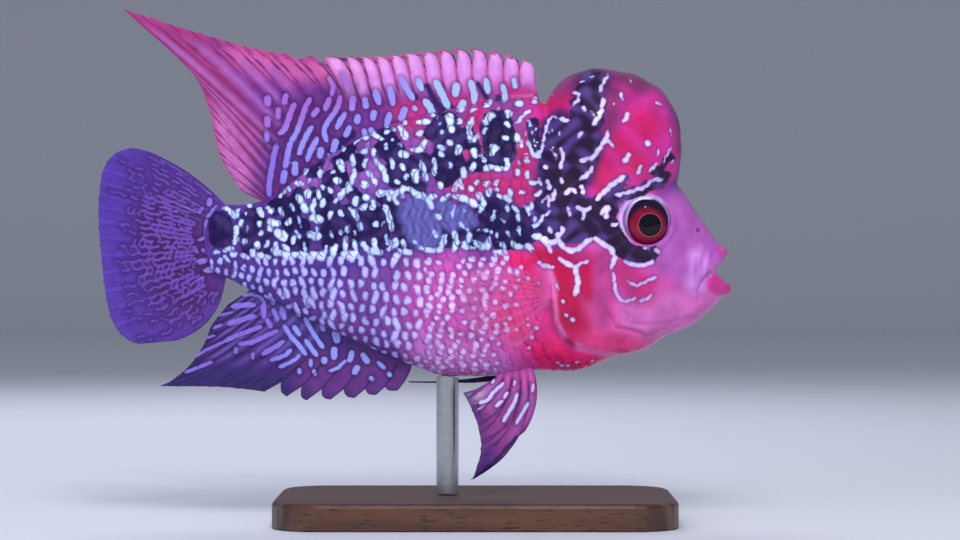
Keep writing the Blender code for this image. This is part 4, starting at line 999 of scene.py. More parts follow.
def fishSkin(name, roughness, ridges):
    # living fish skin: colour lies under a clear film of slime, so it is saturated,
    # never chalky, and every fold carries a small wet highlight
    material, tree, shader = newMaterial(name, Roughness=roughness, IOR=1.4,
                                         Specular_IOR_Level=skinSettings["specular"],
                                         Coat_Weight=skinSettings["coat"],
                                         Coat_Roughness=skinSettings["coatRoughness"])
    place = addNode(tree, "ShaderNodeTexCoord").outputs["Object"]
    ground, shade, tint, mark, dark = [
        addNode(tree, "ShaderNodeAttribute", attribute_name=layer).outputs[socket]
        for layer, socket in paintedLayers]

    # pigment cells in clusters about 4 mm and 0.7 mm wide
    clusters = addNode(tree, "ShaderNodeTexNoise", {"Vector": place, "Scale": 260,
                                                    "Detail": 3.0}).outputs["Fac"]
    cells = addNode(tree, "ShaderNodeTexNoise", {"Vector": place, "Scale": 1500,
                                                 "Detail": 2.0}).outputs["Fac"]
    uneven = addNode(tree, "ShaderNodeMapRange", {"Value": clusters, "From Min": 0.3,
                                                  "From Max": 0.7, "To Min": 0.78,
                                                  "To Max": 1.12}).outputs["Result"]
    fine = addNode(tree, "ShaderNodeMapRange", {"Value": cells, "From Min": 0.3,
                                                "From Max": 0.7, "To Min": 0.96,
                                                "To Max": 1.03}).outputs["Result"]
    level = addNode(tree, "ShaderNodeMath", {0: uneven, 1: fine},
                    operation="MULTIPLY").outputs["Value"]
    ground = addNode(tree, "ShaderNodeVectorMath", {0: ground, "Scale": level},
                     operation="SCALE").outputs["Vector"]

    # both edges waver by less than the marks are wide
    edges = []
    for value, scale, size, soft in (
            (dark, 520, skinSettings["darkWaver"], skinSettings["darkSoft"]),
            (mark, 800, skinSettings["edgeWaver"], skinSettings["markSoft"])):
        waver = addNode(tree, "ShaderNodeTexNoise", {"Vector": place, "Scale": scale,
                                                     "Detail": 3.5}).outputs["Fac"]
        moved = addNode(tree, "ShaderNodeMath", {0: waver, 1: size, 2: -size / 2},
                        operation="MULTIPLY_ADD").outputs["Value"]
        moved = addNode(tree, "ShaderNodeMath", {0: value, 1: moved},
                        operation="ADD").outputs["Value"]
        edges.append(addNode(tree, "ShaderNodeMapRange", {
            "Value": moved, "From Min": soft, "From Max": -soft},
            interpolation_type="SMOOTHSTEP").outputs["Result"])
    # a mark is violet along its edge and nearly white in its heart, in a dark setting
    heart = addNode(tree, "ShaderNodeMapRange", {"Value": mark, "From Min": 0.05,
                                                 "From Max": -0.4}).outputs["Result"]
    pale = addNode(tree, "ShaderNodeMix", {0: 0.3, 6: tint, 7: (0.9, 0.93, 1.0, 1.0)},
                   data_type="RGBA").outputs[2]
    violet = addNode(tree, "ShaderNodeVectorMath", {0: tint, 1: (0.62, 0.56, 0.86)},
                     operation="MULTIPLY").outputs["Vector"]
    bright = addNode(tree, "ShaderNodeMix", {0: heart, 6: violet, 7: pale},
                     data_type="RGBA").outputs[2]
    bright = addNode(tree, "ShaderNodeVectorMath", {0: bright, "Scale": uneven},
                     operation="SCALE").outputs["Vector"]
    halo = addNode(tree, "ShaderNodeMapRange", {"Value": mark, "From Min": 0.65, "From Max": 0.1,
                                                "To Max": 0.3}).outputs["Result"]
    ground = addNode(tree, "ShaderNodeMix", {0: halo, 6: ground, 7: shade},
                     data_type="RGBA").outputs[2]
    colour = addNode(tree, "ShaderNodeMix", {0: edges[0], 6: ground, 7: shade},
                     data_type="RGBA").outputs[2]
    marked = edges[1]
    if ridges:                  # each scale is darker along its free edge, its mark too
        rim = addNode(tree, "ShaderNodeAttribute", attribute_name="rim").outputs["Fac"]
        broken = addNode(tree, "ShaderNodeMapRange", {"Value": rim, "From Min": 0.84,
                                                      "From Max": 0.97, "To Min": 1.0,
                                                      "To Max": 0.35}).outputs["Result"]
        marked = addNode(tree, "ShaderNodeMath", {0: marked, 1: broken},
                         operation="MULTIPLY").outputs["Value"]
    colour = addNode(tree, "ShaderNodeMix", {0: marked, 6: colour, 7: bright},
                     data_type="RGBA").outputs[2]
    if ridges:
        deep = addNode(tree, "ShaderNodeMapRange", {"Value": rim, "From Min": 0.78,
                                                    "From Max": 1.0, "To Min": 1.0,
                                                    "To Max": 0.82}).outputs["Result"]
        colour = addNode(tree, "ShaderNodeVectorMath", {0: colour, "Scale": deep},
                         operation="SCALE").outputs["Vector"]
    tree.links.new(colour, shader.inputs["Base Color"])
    relief = addNode(tree, "ShaderNodeBump", {"Height": cells, "Strength": 0.15,
                                              "Distance": 0.05 * mm}).outputs["Normal"]
    tree.links.new(relief, shader.inputs["Normal"])
    return material


skinFinish = fishSkin("wetFishSkin", skinSettings["roughness"], False)
scaleFinish = fishSkin("wetFishScales", skinSettings["scaleRoughness"], True)
skin.data.materials.append(skinFinish)
for piece in flanks.values():
    piece.data.materials.append(scaleFinish)

fins = {
    # each ray: its number, then where its root and tip lie and how far it bows
    "dorsal": [(0, 24.7, 21.4, 90.3, 0.9), (3, 15.7, 10.7, 92.6, 1.5), (6, 8.0, 0.1, 91.6, 1.9),
               (9, -0.1, -9.7, 90.6, 2.0), (13, -9.9, -21.0, 91.4, 1.5),
               (15, -14.7, -30.0, 92.7, 1.2), (17, -18.6, -42.2, 96.0, 0.8),
               (19, -22.0, -58.0, 101.0, 0.6), (20, -23.5, -50.8, 95.2, 0.3),
               (21, -24.9, -44.8, 89.0, 0.0), (22, -26.3, -42.2, 83.3, 0.0),
               (24, -28.5, -39.6, 72.9, 0.0), (26, -30.1, -34.6, 65.0, 0.0)],
    "anal": [(0, -0.5, -3.6, 25.2, -0.4), (2, -6.2, -12.3, 23.6, -0.9),
             (4, -12.1, -21.8, 23.1, -1.2), (6, -17.4, -30.0, 25.0, -1.4),
             (8, -21.9, -40.7, 26.0, -1.6), (10, -25.7, -50.9, 26.1, -1.6),
             (11, -27.2, -46.9, 28.7, -0.8), (13, -29.2, -42.6, 34.4, -0.4),
             (14, -30.1, -41.4, 37.2, -0.3), (16, -32.4, -37.2, 42.0, 0.0)],
    "caudal": [(0, -52.4, 72.6, 1.0), (1, -55.9, 73.3, 0.9), (2, -58.8, 72.5, 0.8),
               (3, -60.8, 70.6, 0.6), (4, -61.9, 67.9, 0.5),
               (7, -62.5, 60.5, 0.1), (10, -61.8, 50.5, -0.3), (13, -60.2, 40.0, -1.4),
               (15, -54.6, 34.6, -2.3), (16, -47.4, 35.2, -2.6)],
    "pectoral": [(0, 14.2, 50.6, 0.9), (2, 10.6, 48.2, 0.6), (5, 9.0, 43.6, 0.0),
                 (7, 11.0, 37.8, -0.4), (9, 20.0, 34.0, -0.9)],
    "hanging": [(0, 21.6, 3.6, 17.6, -1.4), (1, 11.1, 5.6, 8.3, -4.4), (2, 12.9, 6.2, 14.4, -3.0),
                (3, 12.5, 6.2, 18.1, -1.8), (4, 11.3, 5.4, 21.7, -1.0), (5, 9.6, 4.2, 25.2, -0.5)],
    "folded": [(0, 8.6, 6.2, 27.0, -0.9), (1, -1.4, 5.0, 27.0, -0.9), (2, 1.0, 4.4, 27.0, -0.9),
               (3, 4.0, 4.0, 27.1, -0.9), (4, 7.5, 3.7, 27.2, -0.9), (5, 10.6, 3.5, 27.6, -0.8)],
    # how far the membrane reaches along a ray, just behind it and just ahead of the next
    "dorsalReach": [(0, 0.985, 0.62), (10, 0.985, 0.66), (12, 0.985, 0.8), (14, 0.985, 0.975),
                    (18, 0.985, 0.985), (19, 0.92, 0.92), (26, 0.86, 0.86)],
    "analReach": [(0, 0.93, 0.66), (5, 0.95, 0.76), (6, 0.97, 0.97), (9, 0.97, 0.97),
                  (10, 0.9, 0.9), (16, 0.88, 0.88)],
    "evenReach": [(0, 0.985, 0.987), (30, 0.985, 0.987)],
    "columns": 14, "rows": 64,  # of the mesh, between two rays and from root to rim
    "membrane": 0.09, "rayHalf": 0.22, "rayTip": 0.12, "rayWide": 0.32,
    "rootHalf": 0.34, "rootSink": -0.05, "rimHalf": 0.06,
    "level": 0.42,              # share of the rows that run level, below the notches
    "dorsalHook": 2.1,          # how much the spines' bow lies near their tips
    "caudalArc": (8.9, 9.9),    # reach of the arc that the tail fin stands on
    "pectoralRoot": (25.8, 46.6), "pectoralRun": (0.2, 4.2), "pectoralOut": 1.7,
    "pelvicRoot": 23.4, "pelvicRun": 7.0, "pelvicOut": 2.8,
    "markThin": 0.88,           # drawn width of the streaks, as a share
}


def bowed(start, end, bow, v, out=0.0, hook=0.0):
    # points on rays from start to end, bowed in the fin's own plane and outwards, and
    # with a hook most of the bow lies near the tip
    rise, run = end[:, 2] - start[:, 2], end[:, 0] - start[:, 0]
    length = np.hypot(rise, run)
    push = np.stack([bow * rise / length, np.full(len(v), out), -bow * run / length], axis=-1)
    bend = 4 * v * (1 - v)
    bend = bend + hook * (8.5 * np.maximum(v, 0) ** 4 * (1 - v) - 0.35 * bend)
    return start + (end - start) * v[:, None] + push * bend[:, None]


def dorsalSheet(ray, v):
    rootX, tipX, tipZ, bow = throughKnots(fins["dorsal"])(ray).T
    aside = 0.7 * np.sin(7 * ray / 26) * ray / 26
    start = np.stack([rootX, 0 * ray, topLine(rootX) - 0.1], axis=-1)
    hook = fins["dorsalHook"] * fade(ray, 14.5, 11.5)
    return bowed(start, np.stack([tipX, aside, tipZ], axis=-1), bow, v, hook=hook)


def analSheet(ray, v):
    rootX, tipX, tipZ, bow = throughKnots(fins["anal"])(ray).T
    start = np.stack([rootX, 0 * ray, bottomLine(rootX) + 0.1], axis=-1)
    return bowed(start, np.stack([tipX, -1.3 * (ray / 16) ** 2, tipZ], axis=-1), bow, v)


def caudalSheet(ray, v):
    share = ray / 16
    turn = np.radians(48 - 98 * share)
    arcX, arcZ, _, _ = body["tailArc"]
    reachX, reachZ = fins["caudalArc"]
    start = np.stack([arcX - reachX * np.cos(turn), 0 * ray, arcZ + reachZ * np.sin(turn)],
                     axis=-1)
    tipX, tipZ, bow = throughKnots(fins["caudal"])(ray).T
    aside = 1.1 * np.maximum(0, 2 * share - 1) ** 2
    return bowed(start, np.stack([tipX, aside, tipZ], axis=-1), bow, v)


def pectoralSheet(side):
    def sheet(ray, v):
        share = ray / 9
        (rootX, rootZ), (runX, runZ) = fins["pectoralRoot"], fins["pectoralRun"]
        half = bodyHalf(np.full(1, 25.5), np.full(1, 44.5))[0] + 0.3
        start = np.stack([rootX - runX * share, side * half + 0 * ray, rootZ - runZ * share],
                         axis=-1)
        tipX, tipZ, bow = throughKnots(fins["pectoral"])(ray).T
        end = np.stack([tipX, side * (half + fins["pectoralOut"]) + 0 * ray, tipZ], axis=-1)
        return bowed(start, end, bow, v, out=side * 0.6)
    return sheet


def pelvicSheet(rays, side):
    def sheet(ray, v):
        x = fins["pelvicRoot"] - fins["pelvicRun"] * ray / 5
        tipX, tipY, tipZ, bow = throughKnots(rays)(ray).T
        start = np.stack([x, side * fins["pelvicOut"] + 0 * ray, bottomLine(x) + 0.3], axis=-1)
        return bowed(start, np.stack([tipX, side * tipY, tipZ], axis=-1), bow, v)
    return sheet


def buildFin(name, sheet, rays, reach, spines, look, rootHalf=None):
    # a membrane between rays that stand out on both faces; soft rays fork twice
    last = rays[-1][0]
    columns, rows = last * fins["columns"], fins["rows"]
    bm = bmesh.new()
    bmesh.ops.create_grid(bm, x_segments=columns, y_segments=rows, size=0.5)
    flat = np.array([v.co[:2] for v in bm.verts]) + 0.5
    ray, w = flat[:, 0] * last, flat[:, 1]
    number = np.minimum(np.floor(ray + 1e-6), last - 1)
    f = np.clip(ray - number, 0, 1)
    spineness = fade(ray, spines + 0.5, spines - 0.5) if spines else 0 * ray
    behind, ahead = throughKnots(reach)(number).T
    length = behind + (ahead - behind) * f ** (0.9 + spineness)
    tip = behind + 0.012
    length = np.where(f < 0.09, tip + (length - tip) * fade(f, 0, 0.09), length)
    length = np.where(f > 0.93, length + (tip - length) * fade(f, 0.93, 1.0), length)
    length *= 1 - look.get("ragged", 0.004) * np.sin(ray * 9.1) * np.sin(ray * 23.7)
    # the rows near the body run level, and only the outer ones dip into the notches
    v = fins["rootSink"] + (tip - fins["rootSink"]) * w
    v -= (tip - length) * np.clip((w - fins["level"]) / (1 - fins["level"]), 0, 1)
    points = sheet(ray, v)

    # distance to the nearest ray or branch of one, in shares of the space between two
    fork = 0.2 * fade(v, 0.3, 0.95) * (1 - spineness)
    forkAgain = 0.085 * fade(v, 0.62, 1.0) * (1 - spineness)
    away = np.full(len(v), 1e9)
    for centre in (0.0, 1.0):
        for one in (-1, 1):
            for two in (-1, 1):
                away = np.minimum(away, np.abs(f - centre - one * fork - two * forkAgain))
    gap = np.linalg.norm(sheet(number + 1, v) - sheet(number, v), axis=1)
    taper = 1 - np.clip(v, 0, 1)
    wide = fins["rayWide"] * (0.45 + 0.55 * taper) * (1 + 0.25 * spineness)
    stem = np.clip(1 - (away * gap / wide) ** 2, 0, 1)
    if "sheath" in look:        # a scaly sheath hides the foot of the soft rays
        stem = stem * fade(areaDistance(points[:, 0], points[:, 2], look["sheath"]), -0.5, 1.5)
    rayHalf = fins["rayTip"] + (fins["rayHalf"] - fins["rayTip"]) * taper
    half = fins["membrane"] + (rayHalf * (1 + 0.3 * spineness) - fins["membrane"]) * np.sqrt(stem)
    half = np.maximum(half, (rootHalf or fins["rootHalf"]) * (1 - 8 * np.clip(v, 0, 1)))
    half = np.where(w > 0.999, fins["rimHalf"], half)
    for vertex, spot in zip(bm.verts, points):
        vertex.co = spot * mm
    piece = toMesh(bm, name)
    mesh = piece.data

    x, z = points[:, 0], points[:, 2]
    px, py = toPhoto(x, z)
    share = np.clip(v / length, 0, 1)
    colour = layered(x, z, look["base"], look["layers"])
    middle = np.exp(-((f - 0.52) / 0.2) ** 2)
    for code, weight in look["bands"](px, py, f, share, middle, spineness):
        colour = blended(colour, code, np.clip(weight, 0, 1))
    rayTint = layered(x, z, look["ray"], look.get("rayLayers", []))
    strength = np.clip(stem * 1.4, 0, 1) * look.get("rayStrength", 0.85)
    colour += (rayTint - colour) * (strength * fade(v, 0.0, 0.12))[:, None]
    storeColours(mesh, "ground", colour)
    storeColours(mesh, "tint", layered(x, z, look["mark"], look.get("markLayers", [])))
    storeColours(mesh, "shade", layered(x, z, look["dark"], []))
    samples = []
    for radius, *ends in look["marks"]:
        samples += lineSamples(strokeLine(ends), radius * fins["markThin"] * photo["mmPerPixel"],
                               0.06)
    samples += look.get("samples", [])
    onPlane = np.stack([x, 0 * x, z], axis=-1)
    nothing = np.full(len(x), 9.0)      # farther than any mark's edge reaches
    storeNumbers(mesh, "mark", markDistance(onPlane, samples) if samples else nothing)
    storeNumbers(mesh, "dark", areaDistance(x, z, look["darks"]) if look["darks"] else nothing)
    storeNumbers(mesh, "stem", stem)

    group = piece.vertex_groups.new(name="half")
    for index, value in enumerate(half):
        group.add([index], float(value), "REPLACE")
    thicken = piece.modifiers.new("thicken", "SOLIDIFY")
    thicken.thickness, thicken.offset, thicken.vertex_group = 2.0 * mm, 0.0, "half"
    applyModifiers(piece)
    piece.vertex_groups.clear()
    print(name + ":", triangles(piece), "triangles")
    return piece


dorsalLook = {
    "base": "#672f86", "ray": "#4a1c58", "dark": "#2a1550", "mark": "#857bd2",
    "sheath": [(16, 282, 190, 288, 150, 300, 120), (18, 310, 140, 335, 112),
               (12, 350, 120, 400, 106, 530, 98)],
    "layers": [("#b8508e", 22, [(12, 240, 52, 290, 62, 330, 66, 400, 66)]),
               ("#8e3470", 22, [(30, 120, 10, 190, 66, 222, 130, 240, 185)]),
               ("#b862a2", 14, [(14, 213, 125, 238, 185)]),
               ("#562470", 16, [(16, 270, 190, 276, 150), (22, 288, 180, 294, 140, 322, 114)]),
               ("#6a2a72", 14, [(8, 350, 100, 400, 96)]),
               ("#b763b0", 18, [(14, 390, 72, 540, 76)]),
               ("#b0307c", 12, [(6, 455, 100, 478, 106), (10, 510, 98, 545, 104),
                                (6, 400, 112, 418, 108)])],
    "rayLayers": [("#6e1c50", 20, [(30, 130, 10, 250, 120, 260, 190)]),
                  ("#a23e78", 14, [(14, 380, 62, 540, 62)])],
    "markLayers": [("#96b2ea", 14, [(28, 434, 106, 530, 106), (14, 330, 140, 360, 130)]),
                   ("#8884dc", 20, [(26, 290, 170, 340, 116, 384, 98)]),
                   ("#7c66c8", 12, [(10, 269, 195, 274, 150)]),
                   ("#9560bc", 16, [(22, 262, 110, 300, 96, 345, 80)])],
    "darks": [(3.3, 427, 86, 438, 106), (2.6, 411, 92, 416, 98),
              (2.6, 478, 84, 486, 97),
              (9, 446, 112, 466, 122), (8, 494, 118, 508, 124),
              (6, 396, 128, 408, 124), (4, 499, 98, 502, 106),
              (5, 332, 150, 352, 134)],
    "marks": dorsalSpots,
}


def dorsalBands(px, py, f, share, middle, spineness):
    # pale lobes behind the spines, edged in crimson, and pale bands between the soft rays
    lobe = np.exp(-((f - 0.45) / 0.36) ** 2) * fade(share, 0.35, 0.6) * spineness
    rear = fade(px + 0.3 * (py - 130), 290, 258)
    band = middle * (1 - spineness) * fade(share, 0.97, 0.75) * (0.08 + 0.75 * rear)
    edge = fade(share, 0.9, 1.0)
    return [("#cb90da", lobe * 0.8), ("#d69ad4", lobe * fade(share, 0.6, 0.9) * 0.5),
            ("#9c5ca6", band), ("#b03a78", edge * (0.3 + 0.5 * spineness)),
            ("#9c3274", fade(share, 0.86, 1.0) * (1 - spineness) * 0.5)]


dorsalLook["bands"] = dorsalBands

analLook = {
    "sheath": [(12, 266, 300, 284, 322, 306, 345), (16, 300, 325, 330, 345, 370, 358)],
    "base": "#40236c", "ray": "#2a1543", "dark": "#1d1546", "mark": "#7f79d6",
    "layers": [("#4a2e7a", 30, [(30, 240, 300, 300, 300)]),
               ("#2f2560", 14, [(10, 150, 386, 230, 376, 300, 396)]),
               ("#5a2f74", 20, [(20, 320, 375, 400, 385)])],
    "markLayers": [("#848fe2", 20, [(16, 300, 335, 330, 355, 400, 365)]),
                   ("#7b62c2", 20, [(30, 190, 345, 250, 335)])],
    "darks": [],
    "marks": analSpots,
}


def analBands(px, py, f, share, middle, spineness):
    band = middle * fade(share, 0.95, 0.6) * (1 - spineness) * fade(py, 372, 350)
    return [("#7a68c4", band * 0.45), ("#2a2058", fade(share, 0.8, 1.0) * 0.5)]


analLook["bands"] = analBands

caudalLook = {
    "base": "#54308c", "ray": "#41287a", "dark": "#2a1d4b", "mark": "#6345a2",
    "layers": [("#4c1f60", 34, [(30, 165, 235, 185, 270)]),
               ("#54389c", 26, [(16, 110, 170, 105, 250, 120, 320)])],
    "rayStrength": 0.6, "ragged": 0.0,
    # the paler ring round the dark spot on the tail's stem
    "tailRing": [
        (1.8, 206.5, 220, 206, 230, 206.5, 240), (1.7, 207.5, 217, 212, 212, 217, 206),
        (1.5, 204, 238, 199, 240), (2.6, 200, 262, 206, 260), (2.6, 205, 270.5, 215, 269.5),
        (2.4, 210, 200, 209, 204), (1.9, 199, 212, 202, 209), (1.8, 195, 248, 197, 252),
        (2.0, 203, 250, 207, 252), (2.2, 197, 281, 203, 278), (1.6, 181, 298, 193, 292, 205, 285),
    ],
    "markLayers": [("#8873cc", 12, [(6, 216, 200, 209, 240, 212, 272)]),
                   ("#5d44a2", 20, [(24, 112, 170, 106, 250, 120, 325)])],
    "darks": [], "marks": [],
}


def caudalBands(px, py, f, share, middle, spineness):
    # fine dark lines run on between the branches of the rays near the rim
    fine = (0.5 + 0.5 * np.cos(2 * math.pi * f * 3)) * fade(share, 0.45, 0.8)
    return [("#40237c", fine * 0.5), ("#553f9c", fade(share, 0.9, 1.0) * 0.35)]


caudalLook["bands"] = caudalBands


def caudalNet():
    # a net of pale lines that wander along the rays, with links across that close cells,
    # and a paler ring round the dark spot on the tail's stem; all lie in the middle plane
    samples = []
    for ray in np.arange(0.5, 16, 0.5):
        for v in np.arange(0.16, 0.93, 0.05):
            inner = fade(abs(ray - 8.5), 8, 3) * fade(v, 0.85, 0.45)
            if chance.random() < (0.4 + 0.4 * inner) * fade(v, 1.0, 0.5):
                t = np.linspace(v, v + 0.05, 5)
                r = ray + 0.07 * np.sin(t * 60 + ray * 2.3)
                wander = caudalSheet(np.clip(r, 0, 16), t)
                samples += [(spot, 0.17 + 0.06 * inner) for spot in wander]
            if ray < 15.5 and chance.random() < 0.62 * inner:
                r = np.linspace(ray, ray + 0.5, 5)
                samples += [(spot, 0.2) for spot in caudalSheet(r, v + 0.02 * np.cos(r * 5))]
    for spot, _ in samples:
        spot[1] = 0
    for radius, *ends in caudalLook["tailRing"]:
        samples += lineSamples(strokeLine(ends), radius * photo["mmPerPixel"], 0.1)
    return samples


caudalLook["samples"] = caudalNet()

pelvicLook = {
    "base": "#8a3c86", "ray": "#4a1a52", "dark": "#221a45", "mark": "#b9b4f5",
    "layers": [("#b0408c", 10, [(8, 505, 374, 535, 378)]),
               ("#5a3080", 18, [(6, 474, 474, 488, 456)]),
               ("#54276e", 20, [(8, 464, 394, 470, 410)])],
    "darks": [(1.6, 474, 476, 492, 462, 516, 436)],
    "marks": [(1.9, 503, 383, 493, 392, 488, 399, 480, 402), (1.7, 507, 392, 504, 397),
              (1.8, 502, 400, 496, 405), (1.9, 517, 393, 514, 402, 508, 412, 503, 420),
              (1.8, 528, 402, 522, 412, 516, 422), (1.7, 533, 384, 532, 391),
              (1.2, 515, 381, 514, 384), (1.2, 494, 380, 492, 382)],
    "bands": lambda px, py, f, share, middle, spineness: [
        ("#b070c0", middle * 0.4 * fade(share, 0.8, 0.4)),
        ("#3c2668", fade(share, 0.7, 1.0) * 0.5)],
}
foldedLook = {
    "base": "#4a2a78", "ray": "#2c1a50", "dark": "#221a45", "mark": "#8f8ce0",
    "layers": [("#2a2052", 20, [(8, 405, 385, 450, 384)])], "darks": [], "marks": [],
    "bands": lambda px, py, f, share, middle, spineness: [("#6b4aa0", middle * 0.3)],
}
pectoralLook = {
    "base": "#e0a0d0", "ray": "#c25a9c", "dark": "#2a1d4b", "mark": "#ffffff",
    "layers": [("#d06aa8", 16, [(10, 545, 285, 548, 310)])], "darks": [], "marks": [],
    "rayStrength": 0.9,
    "bands": lambda px, py, f, share, middle, spineness: [],
}


def finSkin(name, clear):
    # thin wet skin between bony rays, and in the pectoral fins so clear that only the rays show
    material, tree, shader = newMaterial(name, Roughness=0.42, IOR=1.4, Coat_Weight=0.22,
                                         Coat_Roughness=0.15, Specular_IOR_Level=0.25)
    place = addNode(tree, "ShaderNodeTexCoord").outputs["Object"]
    ground, shade, tint, mark, dark = [
        addNode(tree, "ShaderNodeAttribute", attribute_name=layer).outputs[socket]
        for layer, socket in paintedLayers]
    stem = addNode(tree, "ShaderNodeAttribute", attribute_name="stem").outputs["Fac"]
    clusters = addNode(tree, "ShaderNodeTexNoise", {"Vector": place, "Scale": 500,
                                                    "Detail": 3.0}).outputs["Fac"]
    level = addNode(tree, "ShaderNodeMapRange", {"Value": clusters, "From Min": 0.3,
                                                 "From Max": 0.7, "To Min": 0.85,
                                                 "To Max": 1.12}).outputs["Result"]
    colour = addNode(tree, "ShaderNodeVectorMath", {0: ground, "Scale": level},
                     operation="SCALE").outputs["Vector"]
    rim = addNode(tree, "ShaderNodeMapRange", {     # dark lines part the pale streaks
        "Value": mark, "From Min": 0.15, "From Max": 0.85, "To Min": 0.58,
        "To Max": 1.0}).outputs["Result"]
    colour = addNode(tree, "ShaderNodeVectorMath", {0: colour, "Scale": rim},
                     operation="SCALE").outputs["Vector"]
    for value, size, soft, over in ((dark, 1.0, 0.4, shade), (mark, 0.2, 0.16, tint)):
        moved = addNode(tree, "ShaderNodeMath", {0: clusters, 1: size, 2: -size / 2},
                        operation="MULTIPLY_ADD").outputs["Value"]
        moved = addNode(tree, "ShaderNodeMath", {0: value, 1: moved},
                        operation="ADD").outputs["Value"]
        edge = addNode(tree, "ShaderNodeMapRange", {
            "Value": moved, "From Min": soft, "From Max": -soft},
            interpolation_type="SMOOTHSTEP").outputs["Result"]
        colour = addNode(tree, "ShaderNodeMix", {0: edge, 6: colour, 7: over},
                         data_type="RGBA").outputs[2]
    tree.links.new(colour, shader.inputs["Base Color"])
    if clear:
        cover = addNode(tree, "ShaderNodeMapRange", {"Value": stem, "From Min": 0.0,
                                                     "From Max": 0.8, "To Min": 0.03,
                                                     "To Max": 0.22}).outputs["Result"]
        tree.links.new(cover, shader.inputs["Alpha"])
    relief = addNode(tree, "ShaderNodeBump", {"Height": clusters, "Strength": 0.3,
                                              "Distance": 0.05 * mm}).outputs["Normal"]
    tree.links.new(relief, shader.inputs["Normal"])
    return material


finFinish, clearFinish = finSkin("rayedFinSkin", False), finSkin("clearFinSkin", True)
made = [
    (buildFin("dorsalFin", dorsalSheet, fins["dorsal"], fins["dorsalReach"], 13, dorsalLook),
     "dorsal_fin", "fin"),
    (buildFin("analFin", analSheet, fins["anal"], fins["analReach"], 6, analLook),
     "anal_fin", "fin"),
    (buildFin("caudalFin", caudalSheet, fins["caudal"], fins["evenReach"], 0, caudalLook),
     "caudal_fin", "fin"),
    (buildFin("pectoralFinRight", pectoralSheet(-1), fins["pectoral"], fins["evenReach"], 0,
              pectoralLook, 0.5), "pectoral_fin_right", "clear_fin"),
    (buildFin("pectoralFinLeft", pectoralSheet(1), fins["pectoral"], fins["evenReach"], 0,
              pectoralLook, 0.5), "pectoral_fin_left", "clear_fin"),
    (buildFin("pelvicFinRight", pelvicSheet(fins["hanging"], -1), fins["hanging"],
              fins["evenReach"], 1, pelvicLook), "pelvic_fin_right", "fin"),
    (buildFin("pelvicFinLeft", pelvicSheet(fins["folded"], 1), fins["folded"],
              fins["evenReach"], 1, foldedLook), "pelvic_fin_left", "fin"),
]
for piece, node, slot in made:
    piece.data.materials.append(clearFinish if slot == "clear_fin" else finFinish)
    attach(piece, "root")
    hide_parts(node)


def glassEye(name):
    # a blown glass eye: everything is painted under a thick clear front, which is the
    # most polished surface of the whole model
    material, tree, shader = newMaterial(name, Roughness=0.4, IOR=1.35, Coat_Weight=0.5,
                                         Coat_Roughness=0.03, Coat_IOR=1.4,
                                         Specular_IOR_Level=0.1)
    place = addNode(tree, "ShaderNodeTexCoord").outputs["Object"]
    rings = []
    centre = (eye["centre"][0], eye["centre"][2])
    for (x, z), tall in ((eye["iris"], eye["irisTall"]), (eye["pupil"], 1.0), (centre, 1.0),
                         (eye["lid"], eye["irisTall"])):
        level = addNode(tree, "ShaderNodeVectorMath", {0: place, 1: (x * mm, 0, z * mm)},
                        operation="SUBTRACT").outputs["Vector"]
        level = addNode(tree, "ShaderNodeVectorMath", {0: level, 1: (1, 0, 1 / tall)},
                        operation="MULTIPLY").outputs["Vector"]
        rings.append((level, addNode(tree, "ShaderNodeVectorMath", {0: level},
                                     operation="LENGTH").outputs["Value"]))
    irisRing, pupilRing, wholeRing, lidRing = [ring for _, ring in rings]
    upFront = addNode(tree, "ShaderNodeVectorMath", {0: rings[2][0], 1: (-0.73, 0, 0.68)},
                      operation="DOT_PRODUCT").outputs["Value"]
    streaks = addNode(tree, "ShaderNodeTexNoise", {"Vector": place, "Scale": 1100,
                                                   "Detail": 3.0}).outputs["Fac"]
    colour = addNode(tree, "ShaderNodeMix", {0: streaks, 6: hexColour("#4c0420"),
                                             7: hexColour("#960b38")}, data_type="RGBA").outputs[2]
    radius, hole = eye["irisRadius"], eye["pupilRadius"]
    for value, start, end, code in (
            (lidRing, *eye["lidShade"], "#150a26"),
            (irisRing, radius - 0.3, radius - 0.08, "#24081f"),
            (irisRing, radius, radius + 0.12, "#ab86c6"),   # the white, tinted by the skin
            (pupilRing, hole + 0.14, hole + 0.06, "#9a6048"),
            (pupilRing, hole + 0.05, hole - 0.05, "#0c0716")):
        share = addNode(tree, "ShaderNodeMapRange", {"Value": value, "From Min": start * mm,
                                                     "From Max": end * mm},
                        interpolation_type="SMOOTHSTEP").outputs["Result"]
        colour = addNode(tree, "ShaderNodeMix", {0: share, 6: colour, 7: hexColour(code)},
                         data_type="RGBA").outputs[2]
    shares = []                 # a painted highlight: the pale crescent behind and above the iris
    for value, (start, end) in zip((upFront, wholeRing), eye["highlightCrescent"]):
        shares.append(addNode(tree, "ShaderNodeMapRange", {"Value": value, "From Min": start * mm,
                                                           "From Max": end * mm},
                              interpolation_type="SMOOTHSTEP").outputs["Result"])
    share = addNode(tree, "ShaderNodeMath", {0: shares[0], 1: shares[1]},
                    operation="MULTIPLY").outputs["Value"]
    colour = addNode(tree, "ShaderNodeMix", {0: share, 6: colour, 7: hexColour("#e2e6ff")},
                     data_type="RGBA").outputs[2]
    tree.links.new(colour, shader.inputs["Base Color"])
    return material


